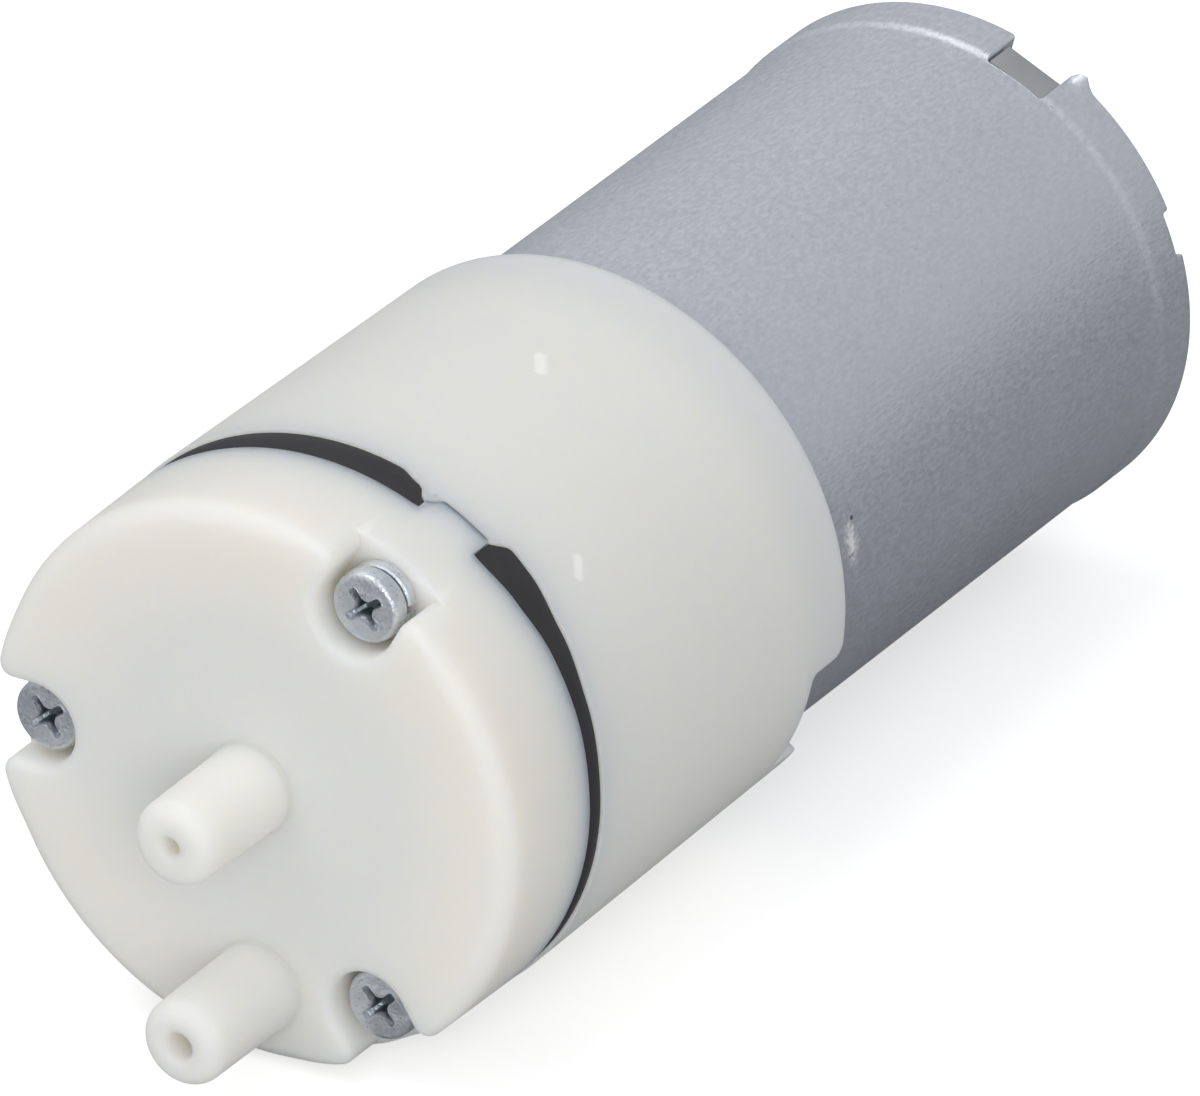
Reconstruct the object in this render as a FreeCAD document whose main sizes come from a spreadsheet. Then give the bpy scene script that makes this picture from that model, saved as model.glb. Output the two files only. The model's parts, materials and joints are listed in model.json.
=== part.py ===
# Three-chamber diaphragm vacuum pump driven by a small brushed motor.
# Frame: the pump axis is Y, the nozzles point to -Y, the motor terminals to +Y, and Z is up.
# The origin is on the axis in the middle of the bare part of the motor can, where a clip holds the pump.
# All lengths are in millimetres and all angles in degrees.
import FreeCAD, Part
import math
import os
import Sketcher

Vector = FreeCAD.Vector
Rotation = FreeCAD.Rotation
Placement = FreeCAD.Placement

Y_AXIS = Vector(0, 1, 0)
Z_AXIS = Vector(0, 0, 1)
FORWARD = Vector(0, -1, 0)
BACKWARD_TILT = Vector(0, 0, -1)
ORIGIN = Vector(0, 0, 0)

SIZES = {
    # Motor can and what its rim holds
    "can_bare": 30.8,  # length of the drawn steel can behind the housing
    "skirt_length": 2.6,  # how far the housing's skirt reaches over the can
    "skirt_gap": 0.03,  # radial gap between skirt and can
    "can_radius": 12.2,  # outside radius of the can
    "can_wall": 0.7,  # sheet thickness of the can
    "swage_rise": 0.14,  # how far the rear band of the can is swaged outwards
    "swage_length": 2.0,  # length of the swaged rear band
    "can_corner": 0.8,  # rounding of the can's front corner
    "motor_boss_radius": 3.0,  # outside radius of the bearing boss on the can's front
    "motor_boss_length": 2.0,  # how far the bearing boss stands out
    "motor_screw_edge": 3.7,  # from a motor screw's axis to the can's outside
    "key_angle": 64.5,  # angle of the deep rim notch and of the end cap's key
    "key_width": 3.6,  # width of the end cap's key
    "key_gap": 0.06,  # side gap between key and notch
    "key_notch_depth": 2.6,  # depth of the deep rim notch
    "crimp_angle": 19.0,  # angle of the shallow rim notch
    "crimp_width": 2.1,  # width of the shallow rim notch
    "crimp_depth": 0.45,  # depth of the shallow rim notch

    # Lower housing
    "housing_length": 20.3,  # length of the lower housing
    "skirt_wall": 1.15,  # wall of the skirt over the can
    "housing_draft": 0.28,  # how much wider the housing is at the diaphragm than at the motor
    "seat_wall": 1.56,  # wall round the seat of the cylinder plate
    "seat_ledge": 0.8,  # width of the ledge that the cylinder plate rests on
    "rear_wall": 2.2,  # thickness of the wall that carries the motor
    "boss_hole_gap": 0.05,  # radial gap round the motor's bearing boss
    "boss_radius": 2.0,  # radius of the three screw bosses
    "boss_gap": 2.5,  # from a screw boss's end to the wall that carries the motor
    "pilot_floor": 1.0,  # closed end of a boss's pilot hole
    "notch_angle": 335.5,  # middle angle of the notch in the skirt's rim
    "notch_width": 5.7,  # width of that notch
    "notch_depth": 2.35,  # depth of that notch along the axis
    "notch_corner": 0.5,  # rounding where the notch opens at the rim

    # Diaphragm and its seat
    "band_thickness": 1.25,  # thickness of the rubber sheet between cover and housing
    "band_inset": 0.17,  # how far the rubber rim stays inside the housing's surface
    "cup_edge": 5.7,  # from a cup's axis to the seat plate's edge
    "cup_mouth": 3.5,  # inside radius of a cup at the valve plate
    "cup_wall": 0.4,  # wall of a cup at its mouth
    "cup_depth": 3.4,  # from the sheet's rear face to the wobble plate
    "cup_floor_radius": 2.3,  # radius of a cup's floor
    "cup_floor": 0.8,  # thickness of a cup's floor
    "stem_radius": 0.85,  # radius of the rubber stem behind a cup
    "bulb_radius": 1.3,  # radius of the barbed end of the stem
    "bulb_length": 1.3,  # length of the barbed end
    "rubber_gap": 0.03,  # gap between the rubber and the wobble plate
    "seat_thickness": 2.5,  # thickness of the plate that the cups hang through
    "stem_hole_gap": 0.1,  # radial gap between a rubber stem and its hole
    "seat_hole_gap": 0.3,  # radial gap between a cup's wall and its hole
    "moulding_gap": 0.1,  # gap between moulded pieces that nest

    # Head cover
    "cover_length": 6.0,  # thickness of the head cover
    "cover_step": 0.06,  # how far the cover stays inside the housing's surface
    "cover_draft": 0.1,  # how much wider the cover is at the diaphragm than at its face
    "cover_edge": 0.9,  # rounding of the cover's front edge
    "nozzle_radius": 2.1,  # outside radius of a nozzle
    "nozzle_length": 6.4,  # height of a nozzle above the face
    "nozzle_bore": 0.75,  # radius of the bore through a nozzle
    "nozzle_tip": 0.6,  # rounding of a nozzle's tip
    "nozzle_root": 0.4,  # fillet at a nozzle's root
    "nozzle_edge": 3.6,  # from the inlet nozzle's axis to the edge of the face
    "face_wall": 1.7,  # thickness of the cover over its air passages
    "room_inset": 2.3,  # from an inlet valve's axis to the outlet passage
    "room_wall": 0.8,  # wall between the outlet and inlet passages
    "plate_land": 2.7,  # ring of the valve plate that lies against the cover
    "recess_side": 0.2,  # radial gap round a screw head in its recess
    "recess_edge": 0.3,  # rounding of a recess's mouth
    "recess_lip": 0.7,  # rounding where a recess opens at the cover's rim
    "port_side": 0.3,  # side gap of the inlet port round the nozzle's bore
    "screw_hole_gap": 0.15,  # radial gap round a screw in the cover
    "pad_width": 3.2,  # width of the pads that reach through the rubber
    "overcut": 1.0,  # how far a cut reaches past the surface that it opens

    # Valve plate and valves
    "plate_thickness": 2.0,  # thickness of the valve plate
    "cover_wall": 2.6,  # wall of the cover round the valve plate
    "port_inset": 1.15,  # from an outlet port's axis to the outlet passage's wall
    "port_radius": 0.45,  # radius of an outlet port
    "inlet_port_radius": 0.36,  # radius of an inlet port
    "valve_shift": 0.6,  # how far an inlet valve stands outside its cup's axis
    "inlet_port_circle": 1.0,  # radius of the ports round an inlet valve
    "valve_stem": 0.5,  # radius of a valve's stem
    "stem_gap": 0.05,  # radial gap round a valve's stem
    "valve_disc": 0.45,  # thickness of a valve's skirt
    "inlet_disc_radius": 1.65,  # radius of an inlet valve's skirt
    "outlet_disc_gap": 0.4,  # from the outlet valve's skirt to the outlet passage's wall
    "valve_bulb": 0.85,  # radius of the bulb that keeps a valve in
    "valve_bulb_length": 0.6,  # length of that bulb
    "valve_lift": 0.3,  # how far a valve opens
    "valve_well_radius": 1.15,  # radius of the well that holds the outlet valve's bulb
    "valve_well_depth": 1.2,  # depth of that well

    # Fasteners
    "screw_edge": 2.31,  # from a head screw's axis to the housing's edge
    "screw_first": 60.0,  # angle of the first head screw
    "head_setback": 1.0,  # from the cover's face to a screw head
    "screw_head_radius": 1.75,  # radius of a head screw's pan head
    "screw_head_height": 1.35,  # height of the pan head
    "screw_head_round": 0.35,  # rounding of the pan head
    "screw_core": 0.85,  # radius of a head screw's shank
    "screw_length": 10.0,  # length of a head screw under its head
    "screw_tip": 0.5,  # chamfer of a screw's tip
    "washer_thickness": 0.5,  # thickness of the split spring washer
    "washer_radius": 1.7,  # outside radius of the washer
    "washer_opening": 14.0,  # angle of the washer's split
    "cross_length": 1.9,  # length of the cross recess
    "cross_width": 0.42,  # width of the cross recess
    "cross_depth": 0.7,  # depth of the cross recess
    "motor_screw_radius": 1.25,  # radius of a motor screw's shank
    "motor_screw_head": 2.2,  # radius of a motor screw's head
    "motor_screw_head_height": 1.4,  # height of a motor screw's head
    "motor_screw_reach": 2.6,  # how far a motor screw goes past the rear wall

    # Wobble drive
    "tilt": 8.0,  # tilt of the wobble pin from the axis
    "arm_thickness": 1.8,  # thickness of the wobble plate's arms
    "arm_width": 4.0,  # width of an arm
    "arm_end_radius": 2.2,  # radius of an arm's end
    "hub_foot": 0.8,  # width and height of the chamfer at the hub's foot
    "hub_radius": 2.4,  # radius of the wobble plate's hub
    "hub_gap": 0.5,  # from the hub's rear end to the eccentric wheel
    "hub_floor": 1.0,  # closed end of the hub's bore
    "pin_radius": 0.75,  # radius of the steel pin
    "pin_running_gap": 0.05,  # radial running gap of the pin in the hub
    "pin_start": 1.3,  # from the nutation centre to the pin's front end
    "pin_seat": 2.0,  # how deep the pin is pressed into the eccentric
    "eccentric_radius": 4.5,  # radius of the eccentric wheel
    "eccentric_length": 5.0,  # length of the eccentric wheel
    "eccentric_gap": 1.0,  # from the eccentric wheel to the rear wall
    "shaft_radius": 1.0,  # radius of the motor shaft
    "shaft_seat": 2.6,  # how deep the shaft goes into the eccentric wheel
    "shaft_rear_reach": 0.5,  # how far the shaft shows behind the can's rim

    # Inside the motor
    "bearing_radius": 2.4,  # outside radius of the two sintered bushes
    "bearing_length": 2.6,  # length of a bush
    "bearing_gap": 0.03,  # radial running gap of the shaft in a bush
    "stack_front": 6.0,  # from the can's front to the lamination stack
    "air_gap": 0.4,  # gap between the armature and the magnets
    "shoe_thickness": 0.9,  # thickness of a pole shoe
    "shoe_span": 100.0,  # angle that a pole shoe covers
    "pole_width": 2.8,  # width of a pole
    "core_radius": 2.6,  # radius of the armature's core
    "coil_side": 1.7,  # thickness of a coil beside its pole
    "coil_end": 2.0,  # thickness of a coil past the stack's ends
    "coil_gap": 0.15,  # gap between a coil and the iron
    "spacer_radius": 1.9,  # radius of the plastic sleeve on the shaft
    "end_play": 0.2,  # axial play of the rotor
    "magnet_thickness": 1.9,  # thickness of the magnets
    "magnet_overhang": 3.0,  # how far the magnets reach past each end of the stack
    "magnet_span": 128.0,  # angle that a magnet covers
    "clip_wire": 0.9,  # thickness of the spring between the magnets
    "clip_window": 4.5,  # width of the window in that spring
    "clip_side_angle": 2.0,  # angle between that spring and a magnet
    "commutator_radius": 2.6,  # radius of the commutator
    "commutator_length": 4.0,  # length of the commutator bars
    "commutator_wall": 0.6,  # thickness of a commutator bar
    "commutator_slot": 0.35,  # gap between two commutator bars
    "thrust_length": 2.75,  # length of the thrust washer
    "cap_inset": 0.9,  # from the can's rim to the end cap's face
    "cap_thickness": 2.4,  # thickness of the end cap
    "cap_boss_radius": 4.4,  # radius of the end cap's bearing boss
    "cap_boss_length": 2.1,  # height of the bearing boss over the end cap
    "terminal_edge": 3.2,  # from a terminal to the can's inside wall
    "terminal_width": 2.2,  # width of a terminal tab
    "terminal_thickness": 0.5,  # thickness of a terminal tab
    "terminal_reach": 4.2,  # how far a terminal stands out of the end cap
    "terminal_hole": 0.55,  # radius of the solder hole in a terminal
    "brush_length": 2.2,  # length of a carbon brush towards the shaft
    "brush_width": 2.0,  # width of a carbon brush
    "brush_gap": 0.05,  # gap between a brush and the commutator
    "arm_sheet": 0.3,  # thickness of a brush's spring arm
}

doc = FreeCAD.newDocument("diaphragm_pump")
sheet = doc.addObject("Spreadsheet::Sheet", "sizes")
for row, (alias, value) in enumerate(SIZES.items(), start=1):
    sheet.set(f"A{row}", alias)
    sheet.set(f"B{row}", str(value))
    sheet.setAlias(f"B{row}", alias)
doc.recompute()

# Stations along the axis, from the motor forwards and backwards
HOUSING_REAR = "(-sizes.can_bare / 2)"
CAN_FRONT = f"({HOUSING_REAR} - sizes.skirt_length)"
CAN_REAR = "(sizes.can_bare / 2)"
BAND_REAR = f"({HOUSING_REAR} - sizes.housing_length)"
BAND_FRONT = f"({BAND_REAR} - sizes.band_thickness)"
FACE = f"({BAND_FRONT} - sizes.cover_length)"
NOZZLE_TIP = f"({FACE} - sizes.nozzle_length)"
PLATE_FRONT = f"({BAND_FRONT} - sizes.plate_thickness)"
SEAT_REAR = f"({BAND_REAR} + sizes.seat_thickness)"
WALL_FRONT = f"({CAN_FRONT} - sizes.rear_wall)"
BOSS_LENGTH = f"({WALL_FRONT} - {BAND_REAR} - sizes.boss_gap)"
NUTATION = f"({BAND_REAR} + sizes.cup_depth)"
ECCENTRIC_REAR = f"({WALL_FRONT} - sizes.eccentric_gap)"
ECCENTRIC_FRONT = f"({ECCENTRIC_REAR} - sizes.eccentric_length)"
SHAFT_FRONT = f"({ECCENTRIC_FRONT} + sizes.eccentric_length - sizes.shaft_seat)"
SHAFT_REAR = f"({CAN_REAR} + sizes.shaft_rear_reach)"
HEAD_FRONT = f"({FACE} + sizes.head_setback)"
HEAD_REAR = f"({HEAD_FRONT} + sizes.screw_head_height)"
RECESS_FLOOR = f"({HEAD_REAR} + sizes.washer_thickness)"
CAP_REAR = f"({CAN_REAR} - sizes.cap_inset)"
CAP_FRONT = f"({CAP_REAR} - sizes.cap_thickness)"
CAP_BOSS_REAR = f"({CAP_REAR} + sizes.cap_boss_length)"
COMMUTATOR_REAR = f"({CAP_FRONT} - sizes.end_play - sizes.thrust_length)"
COMMUTATOR_FRONT = f"({COMMUTATOR_REAR} - sizes.commutator_length)"
COIL_REAR = f"({COMMUTATOR_FRONT} - 2 * sizes.end_play)"
STACK_FRONT = f"({CAN_FRONT} + sizes.stack_front)"
STACK_REAR = f"({COIL_REAR} - sizes.coil_end - sizes.coil_gap)"
MAGNET_FRONT = f"({STACK_FRONT} - sizes.magnet_overhang)"
MAGNET_REAR = f"({STACK_REAR} + sizes.magnet_overhang)"
HUB_LENGTH = f"({ECCENTRIC_FRONT} - {NUTATION} - sizes.hub_gap)"

# Radii and offsets from the axis, from the motor can outwards and inwards
CAN_INSIDE = "(sizes.can_radius - sizes.can_wall)"
MAGNET_INSIDE = f"({CAN_INSIDE} - sizes.magnet_thickness)"
ROTOR_RADIUS = f"({MAGNET_INSIDE} - sizes.air_gap)"
TERMINAL_OFFSET = f"({CAN_INSIDE} - sizes.terminal_edge)"
MOTOR_SCREW_OFFSET = "(sizes.can_radius - sizes.motor_screw_edge)"
SKIRT_INSIDE = "(sizes.can_radius + sizes.skirt_gap)"
HOUSING_REAR_RADIUS = f"({SKIRT_INSIDE} + sizes.skirt_wall)"
HOUSING_FRONT_RADIUS = f"({HOUSING_REAR_RADIUS} + sizes.housing_draft)"
SEAT_INSIDE = f"({HOUSING_FRONT_RADIUS} - sizes.seat_wall)"
SEAT_RADIUS = f"({SEAT_INSIDE} - sizes.moulding_gap)"
CAVITY_RADIUS = f"({SEAT_INSIDE} - sizes.seat_ledge)"
SCREW_CIRCLE = f"({HOUSING_FRONT_RADIUS} - sizes.screw_edge)"
COVER_REAR_RADIUS = f"({HOUSING_FRONT_RADIUS} - sizes.cover_step)"
COVER_FACE_RADIUS = f"({COVER_REAR_RADIUS} - sizes.cover_draft)"
INLET_OFFSET = f"({COVER_FACE_RADIUS} - sizes.nozzle_edge)"
PLATE_RADIUS = f"({COVER_REAR_RADIUS} - sizes.cover_wall - sizes.moulding_gap)"
INLET_ROOM = f"({PLATE_RADIUS} - sizes.plate_land)"
CUP_CIRCLE = f"({SEAT_RADIUS} - sizes.cup_edge)"
INLET_VALVE_CIRCLE = f"({CUP_CIRCLE} + sizes.valve_shift)"
OUTLET_ROOM = f"({INLET_VALVE_CIRCLE} - sizes.room_inset)"
OUTLET_PORT_CIRCLE = f"({OUTLET_ROOM} - sizes.port_inset)"
HEAD_CUT = "(sizes.screw_head_radius + sizes.recess_side)"
PAD_HALF = "(sizes.pad_width / 2)"
SLOT_HALF = f"({PAD_HALF} + sizes.moulding_gap / 2)"
FULL_TURN = 360
CHAMBERS = 3
CHAMBER_STEP = f"({FULL_TURN} / {CHAMBERS})"
POLES = 3
SAME_PLACE = 1e-4
LEAST_CHANGE = 1e-6
TERMINAL_TURN = "(sizes.key_angle + 90)"
NODES = []


def number(expression):
    """The value of an expression of the sheet's sizes."""
    return float(sheet.evalExpression(expression))


def new_body(name):
    """A sub-part made of sketches and features; its label is its node's name."""
    body = doc.addObject("PartDesign::Body", name)
    body.Label = name
    body.AllowCompound = True
    NODES.append(body)
    return body


def origin_item(body, role):
    return next(item for item in body.Origin.OriginFeatures if item.Role == role)


def new_sketch(body, name, role, offset=None, shift=None, turn=None):
    """A sketch on one of the body's own planes, moved out by offset, sideways by shift and turned."""
    sketch = body.newObject("Sketcher::SketchObject", name)
    sketch.AttachmentSupport = [(origin_item(body, role), "")]
    sketch.MapMode = "FlatFace"
    if turn is not None:
        sketch.AttachmentOffset = Placement(ORIGIN, Rotation(Z_AXIS, number(turn)))
        sketch.setExpression("AttachmentOffset.Rotation.Angle", turn)
    if offset is not None:
        sketch.setExpression("AttachmentOffset.Base.z", offset)
    if shift is not None:
        sketch.setExpression("AttachmentOffset.Base.x", shift)
    return sketch


def cross_sketch(body, name, station, turn=None):
    """A sketch square to the pump axis at a station; its normal points to the front."""
    return new_sketch(body, name, "XZ_Plane", offset=f"-1 * {station}", turn=turn)


def hold(sketch, kind, geometry, point, value):
    """Tie one coordinate of a point to an expression of the sizes."""
    index = sketch.addConstraint(Sketcher.Constraint(kind, -1, 1, geometry, point, number(value)))
    sketch.setExpression(f"Constraints[{index}]", value)


def add_circle(sketch, radius, x="0", y="0"):
    centre = Vector(number(x), number(y), 0)
    index = sketch.addGeometry(Part.Circle(centre, Z_AXIS, number(radius)), False)
    hold(sketch, "DistanceX", index, 3, x)
    hold(sketch, "DistanceY", index, 3, y)
    held = sketch.addConstraint(Sketcher.Constraint("Radius", index, number(radius)))
    sketch.setExpression(f"Constraints[{held}]", radius)


def add_polygon(sketch, points):
    """A closed outline through points, each a pair of expressions."""
    first = sketch.GeometryCount
    corners = [Vector(number(x), number(y), 0) for x, y in points]
    count = len(corners)
    for i in range(count):
        sketch.addGeometry(Part.LineSegment(corners[i], corners[(i + 1) % count]), False)
    for i in range(count):
        sketch.addConstraint(Sketcher.Constraint("Coincident", first + i, 2, first + (i + 1) % count, 1))
    for i, (x, y) in enumerate(points):
        hold(sketch, "DistanceX", first + i, 1, x)
        hold(sketch, "DistanceY", first + i, 1, y)


def add_box(sketch, x0, y0, x1, y1):
    add_polygon(sketch, [(x0, y0), (x1, y0), (x1, y1), (x0, y1)])


def add_flare(sketch, half, radius, lip, reach):
    """An outline that rounds both lips of a slot of this half width where it opens at a rim of this radius."""
    side = f"({half} + {lip})"
    centre = f"sqrt(({radius} - {lip}) ^ 2 - {side} ^ 2)"
    touch = f"({radius} / ({radius} - {lip}))"
    past = f"(({radius} + {reach}) / ({radius} - {lip}))"
    corners = [
        (centre, f"-1 * {half}"),
        (f"{centre} * {touch}", f"-1 * {side} * {touch}"),
        (f"{centre} * {past}", f"-1 * {side} * {past}"),
        (f"{centre} * {past}", f"{side} * {past}"),
        (f"{centre} * {touch}", f"{side} * {touch}"),
        (centre, half),
    ]
    points = [Vector(number(x), number(y), 0) for x, y in corners]
    middle, away, small = number(centre), number(side), number(lip)
    turn = math.atan2(away, middle)
    lower = Part.Circle(Vector(middle, -away, 0), Z_AXIS, small)
    upper = Part.Circle(Vector(middle, away, 0), Z_AXIS, small)
    first = sketch.GeometryCount
    sketch.addGeometry(Part.ArcOfCircle(lower, -turn, math.pi / 2), False)
    for i in (1, 2, 3):
        sketch.addGeometry(Part.LineSegment(points[i], points[i + 1]), False)
    sketch.addGeometry(Part.ArcOfCircle(upper, -math.pi / 2, turn), False)
    sketch.addGeometry(Part.LineSegment(points[5], points[0]), False)
    ends = [(0, 1, 1, 1), (1, 2, 2, 1), (2, 2, 3, 1), (3, 2, 4, 2), (4, 1, 5, 1), (5, 2, 0, 2)]
    for a, a_end, b, b_end in ends:
        sketch.addConstraint(Sketcher.Constraint("Coincident", first + a, a_end, first + b, b_end))
    for line, corner in ((1, 1), (2, 2), (3, 3), (5, 5)):
        hold(sketch, "DistanceX", first + line, 1, corners[corner][0])
        hold(sketch, "DistanceY", first + line, 1, corners[corner][1])
    for x, y, geometry, point in ((*corners[4], 3, 2), (*corners[0], 5, 2)):
        hold(sketch, "DistanceX", first + geometry, point, x)
        hold(sketch, "DistanceY", first + geometry, point, y)
    for arc in (0, 4):
        held = sketch.addConstraint(Sketcher.Constraint("Radius", first + arc, small))
        sketch.setExpression(f"Constraints[{held}]", lip)


def checked(feature, body, grows, before):
    """Recompute and make sure that a feature added or took away material."""
    doc.recompute()
    change = feature.Shape.Volume - before
    if (change > 0) != grows or abs(change) < LEAST_CHANGE:
        raise RuntimeError(f"{body.Label}: {feature.Label} changes the volume by {change:.4f}")
    return feature


def volume_of(body):
    doc.recompute()
    return body.Shape.Volume if body.Tip is not None and not body.Shape.isNull() else 0.0


def add_pad(body, sketch, length, towards="front"):
    before = volume_of(body)
    pad = body.newObject("PartDesign::Pad", sketch.Label + "_pad")
    pad.Profile = sketch
    pad.Reversed = towards == "rear"
    pad.setExpression("Length", length)
    return checked(pad, body, True, before)


def add_pocket(body, sketch, length, towards="rear"):
    before = volume_of(body)
    pocket = body.newObject("PartDesign::Pocket", sketch.Label + "_cut")
    pocket.Profile = sketch
    pocket.Reversed = towards == "front"
    pocket.setExpression("Length", length)
    return checked(pocket, body, False, before)


def add_revolution(body, sketch, angle=None):
    before = volume_of(body)
    turned = body.newObject("PartDesign::Revolution", sketch.Label + "_turned")
    turned.Profile = sketch
    turned.ReferenceAxis = (sketch, ["V_Axis"])
    turned.Angle = FULL_TURN
    if angle is not None:
        turned.Midplane = True
        turned.setExpression("Angle", angle)
    return checked(turned, body, True, before)


def add_groove(body, sketch):
    before = volume_of(body)
    groove = body.newObject("PartDesign::Groove", sketch.Label + "_groove")
    groove.Profile = sketch
    groove.ReferenceAxis = (sketch, ["V_Axis"])
    groove.Angle = FULL_TURN
    return checked(groove, body, False, before)


def turned_body(name, points):
    """A body turned about the pump axis from an outline of radius and station."""
    body = new_body(name)
    sketch = new_sketch(body, name + "_section", "XY_Plane")
    add_polygon(sketch, points)
    add_revolution(body, sketch)
    return body


def tube(name, inner, outer, front, rear):
    return turned_body(name, [(inner, front), (outer, front), (outer, rear), (inner, rear)])


def repeat(body, features, count):
    """Repeat features evenly round the pump axis."""
    pattern = body.newObject("PartDesign::PolarPattern", features[0].Label + "_round")
    pattern.Originals = features
    pattern.Axis = (origin_item(body, "Y_Axis"), [""])
    pattern.Angle = FULL_TURN
    pattern.Occurrences = count
    body.Tip = pattern
    doc.recompute()
    return pattern


def edges_where(feature, test):
    names = [f"Edge{i + 1}" for i, edge in enumerate(feature.Shape.Edges) if test(edge)]
    if not names:
        raise RuntimeError(f"{feature.Label}: no edge found to round")
    return names


def lies_at(edge, station):
    """True for an edge that lies square to the pump axis at this station."""
    box = edge.BoundBox
    return abs(box.YMin - station) < SAME_PLACE and abs(box.YMax - station) < SAME_PLACE


def is_circle(edge, radius, station):
    """True for a round edge of this radius at this station."""
    curve = edge.Curve
    return (curve.TypeId == "Part::GeomCircle" and lies_at(edge, station)
            and abs(curve.Radius - radius) < SAME_PLACE)


def is_line(edge, station):
    """True for a straight edge at this station."""
    return edge.Curve.TypeId == "Part::GeomLine" and lies_at(edge, station)


def round_edges(body, feature, names, radius):
    fillet = body.newObject("PartDesign::Fillet", feature.Label + "_round")
    fillet.Base = (feature, names)
    fillet.setExpression("Radius", radius)
    body.Tip = fillet
    doc.recompute()
    return fillet


def radial_point(radius, angle):
    """Two expressions for a point at a radius and an angle in a cross sketch."""
    return f"({radius}) * cos({angle})", f"({radius}) * sin({angle})"


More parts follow.
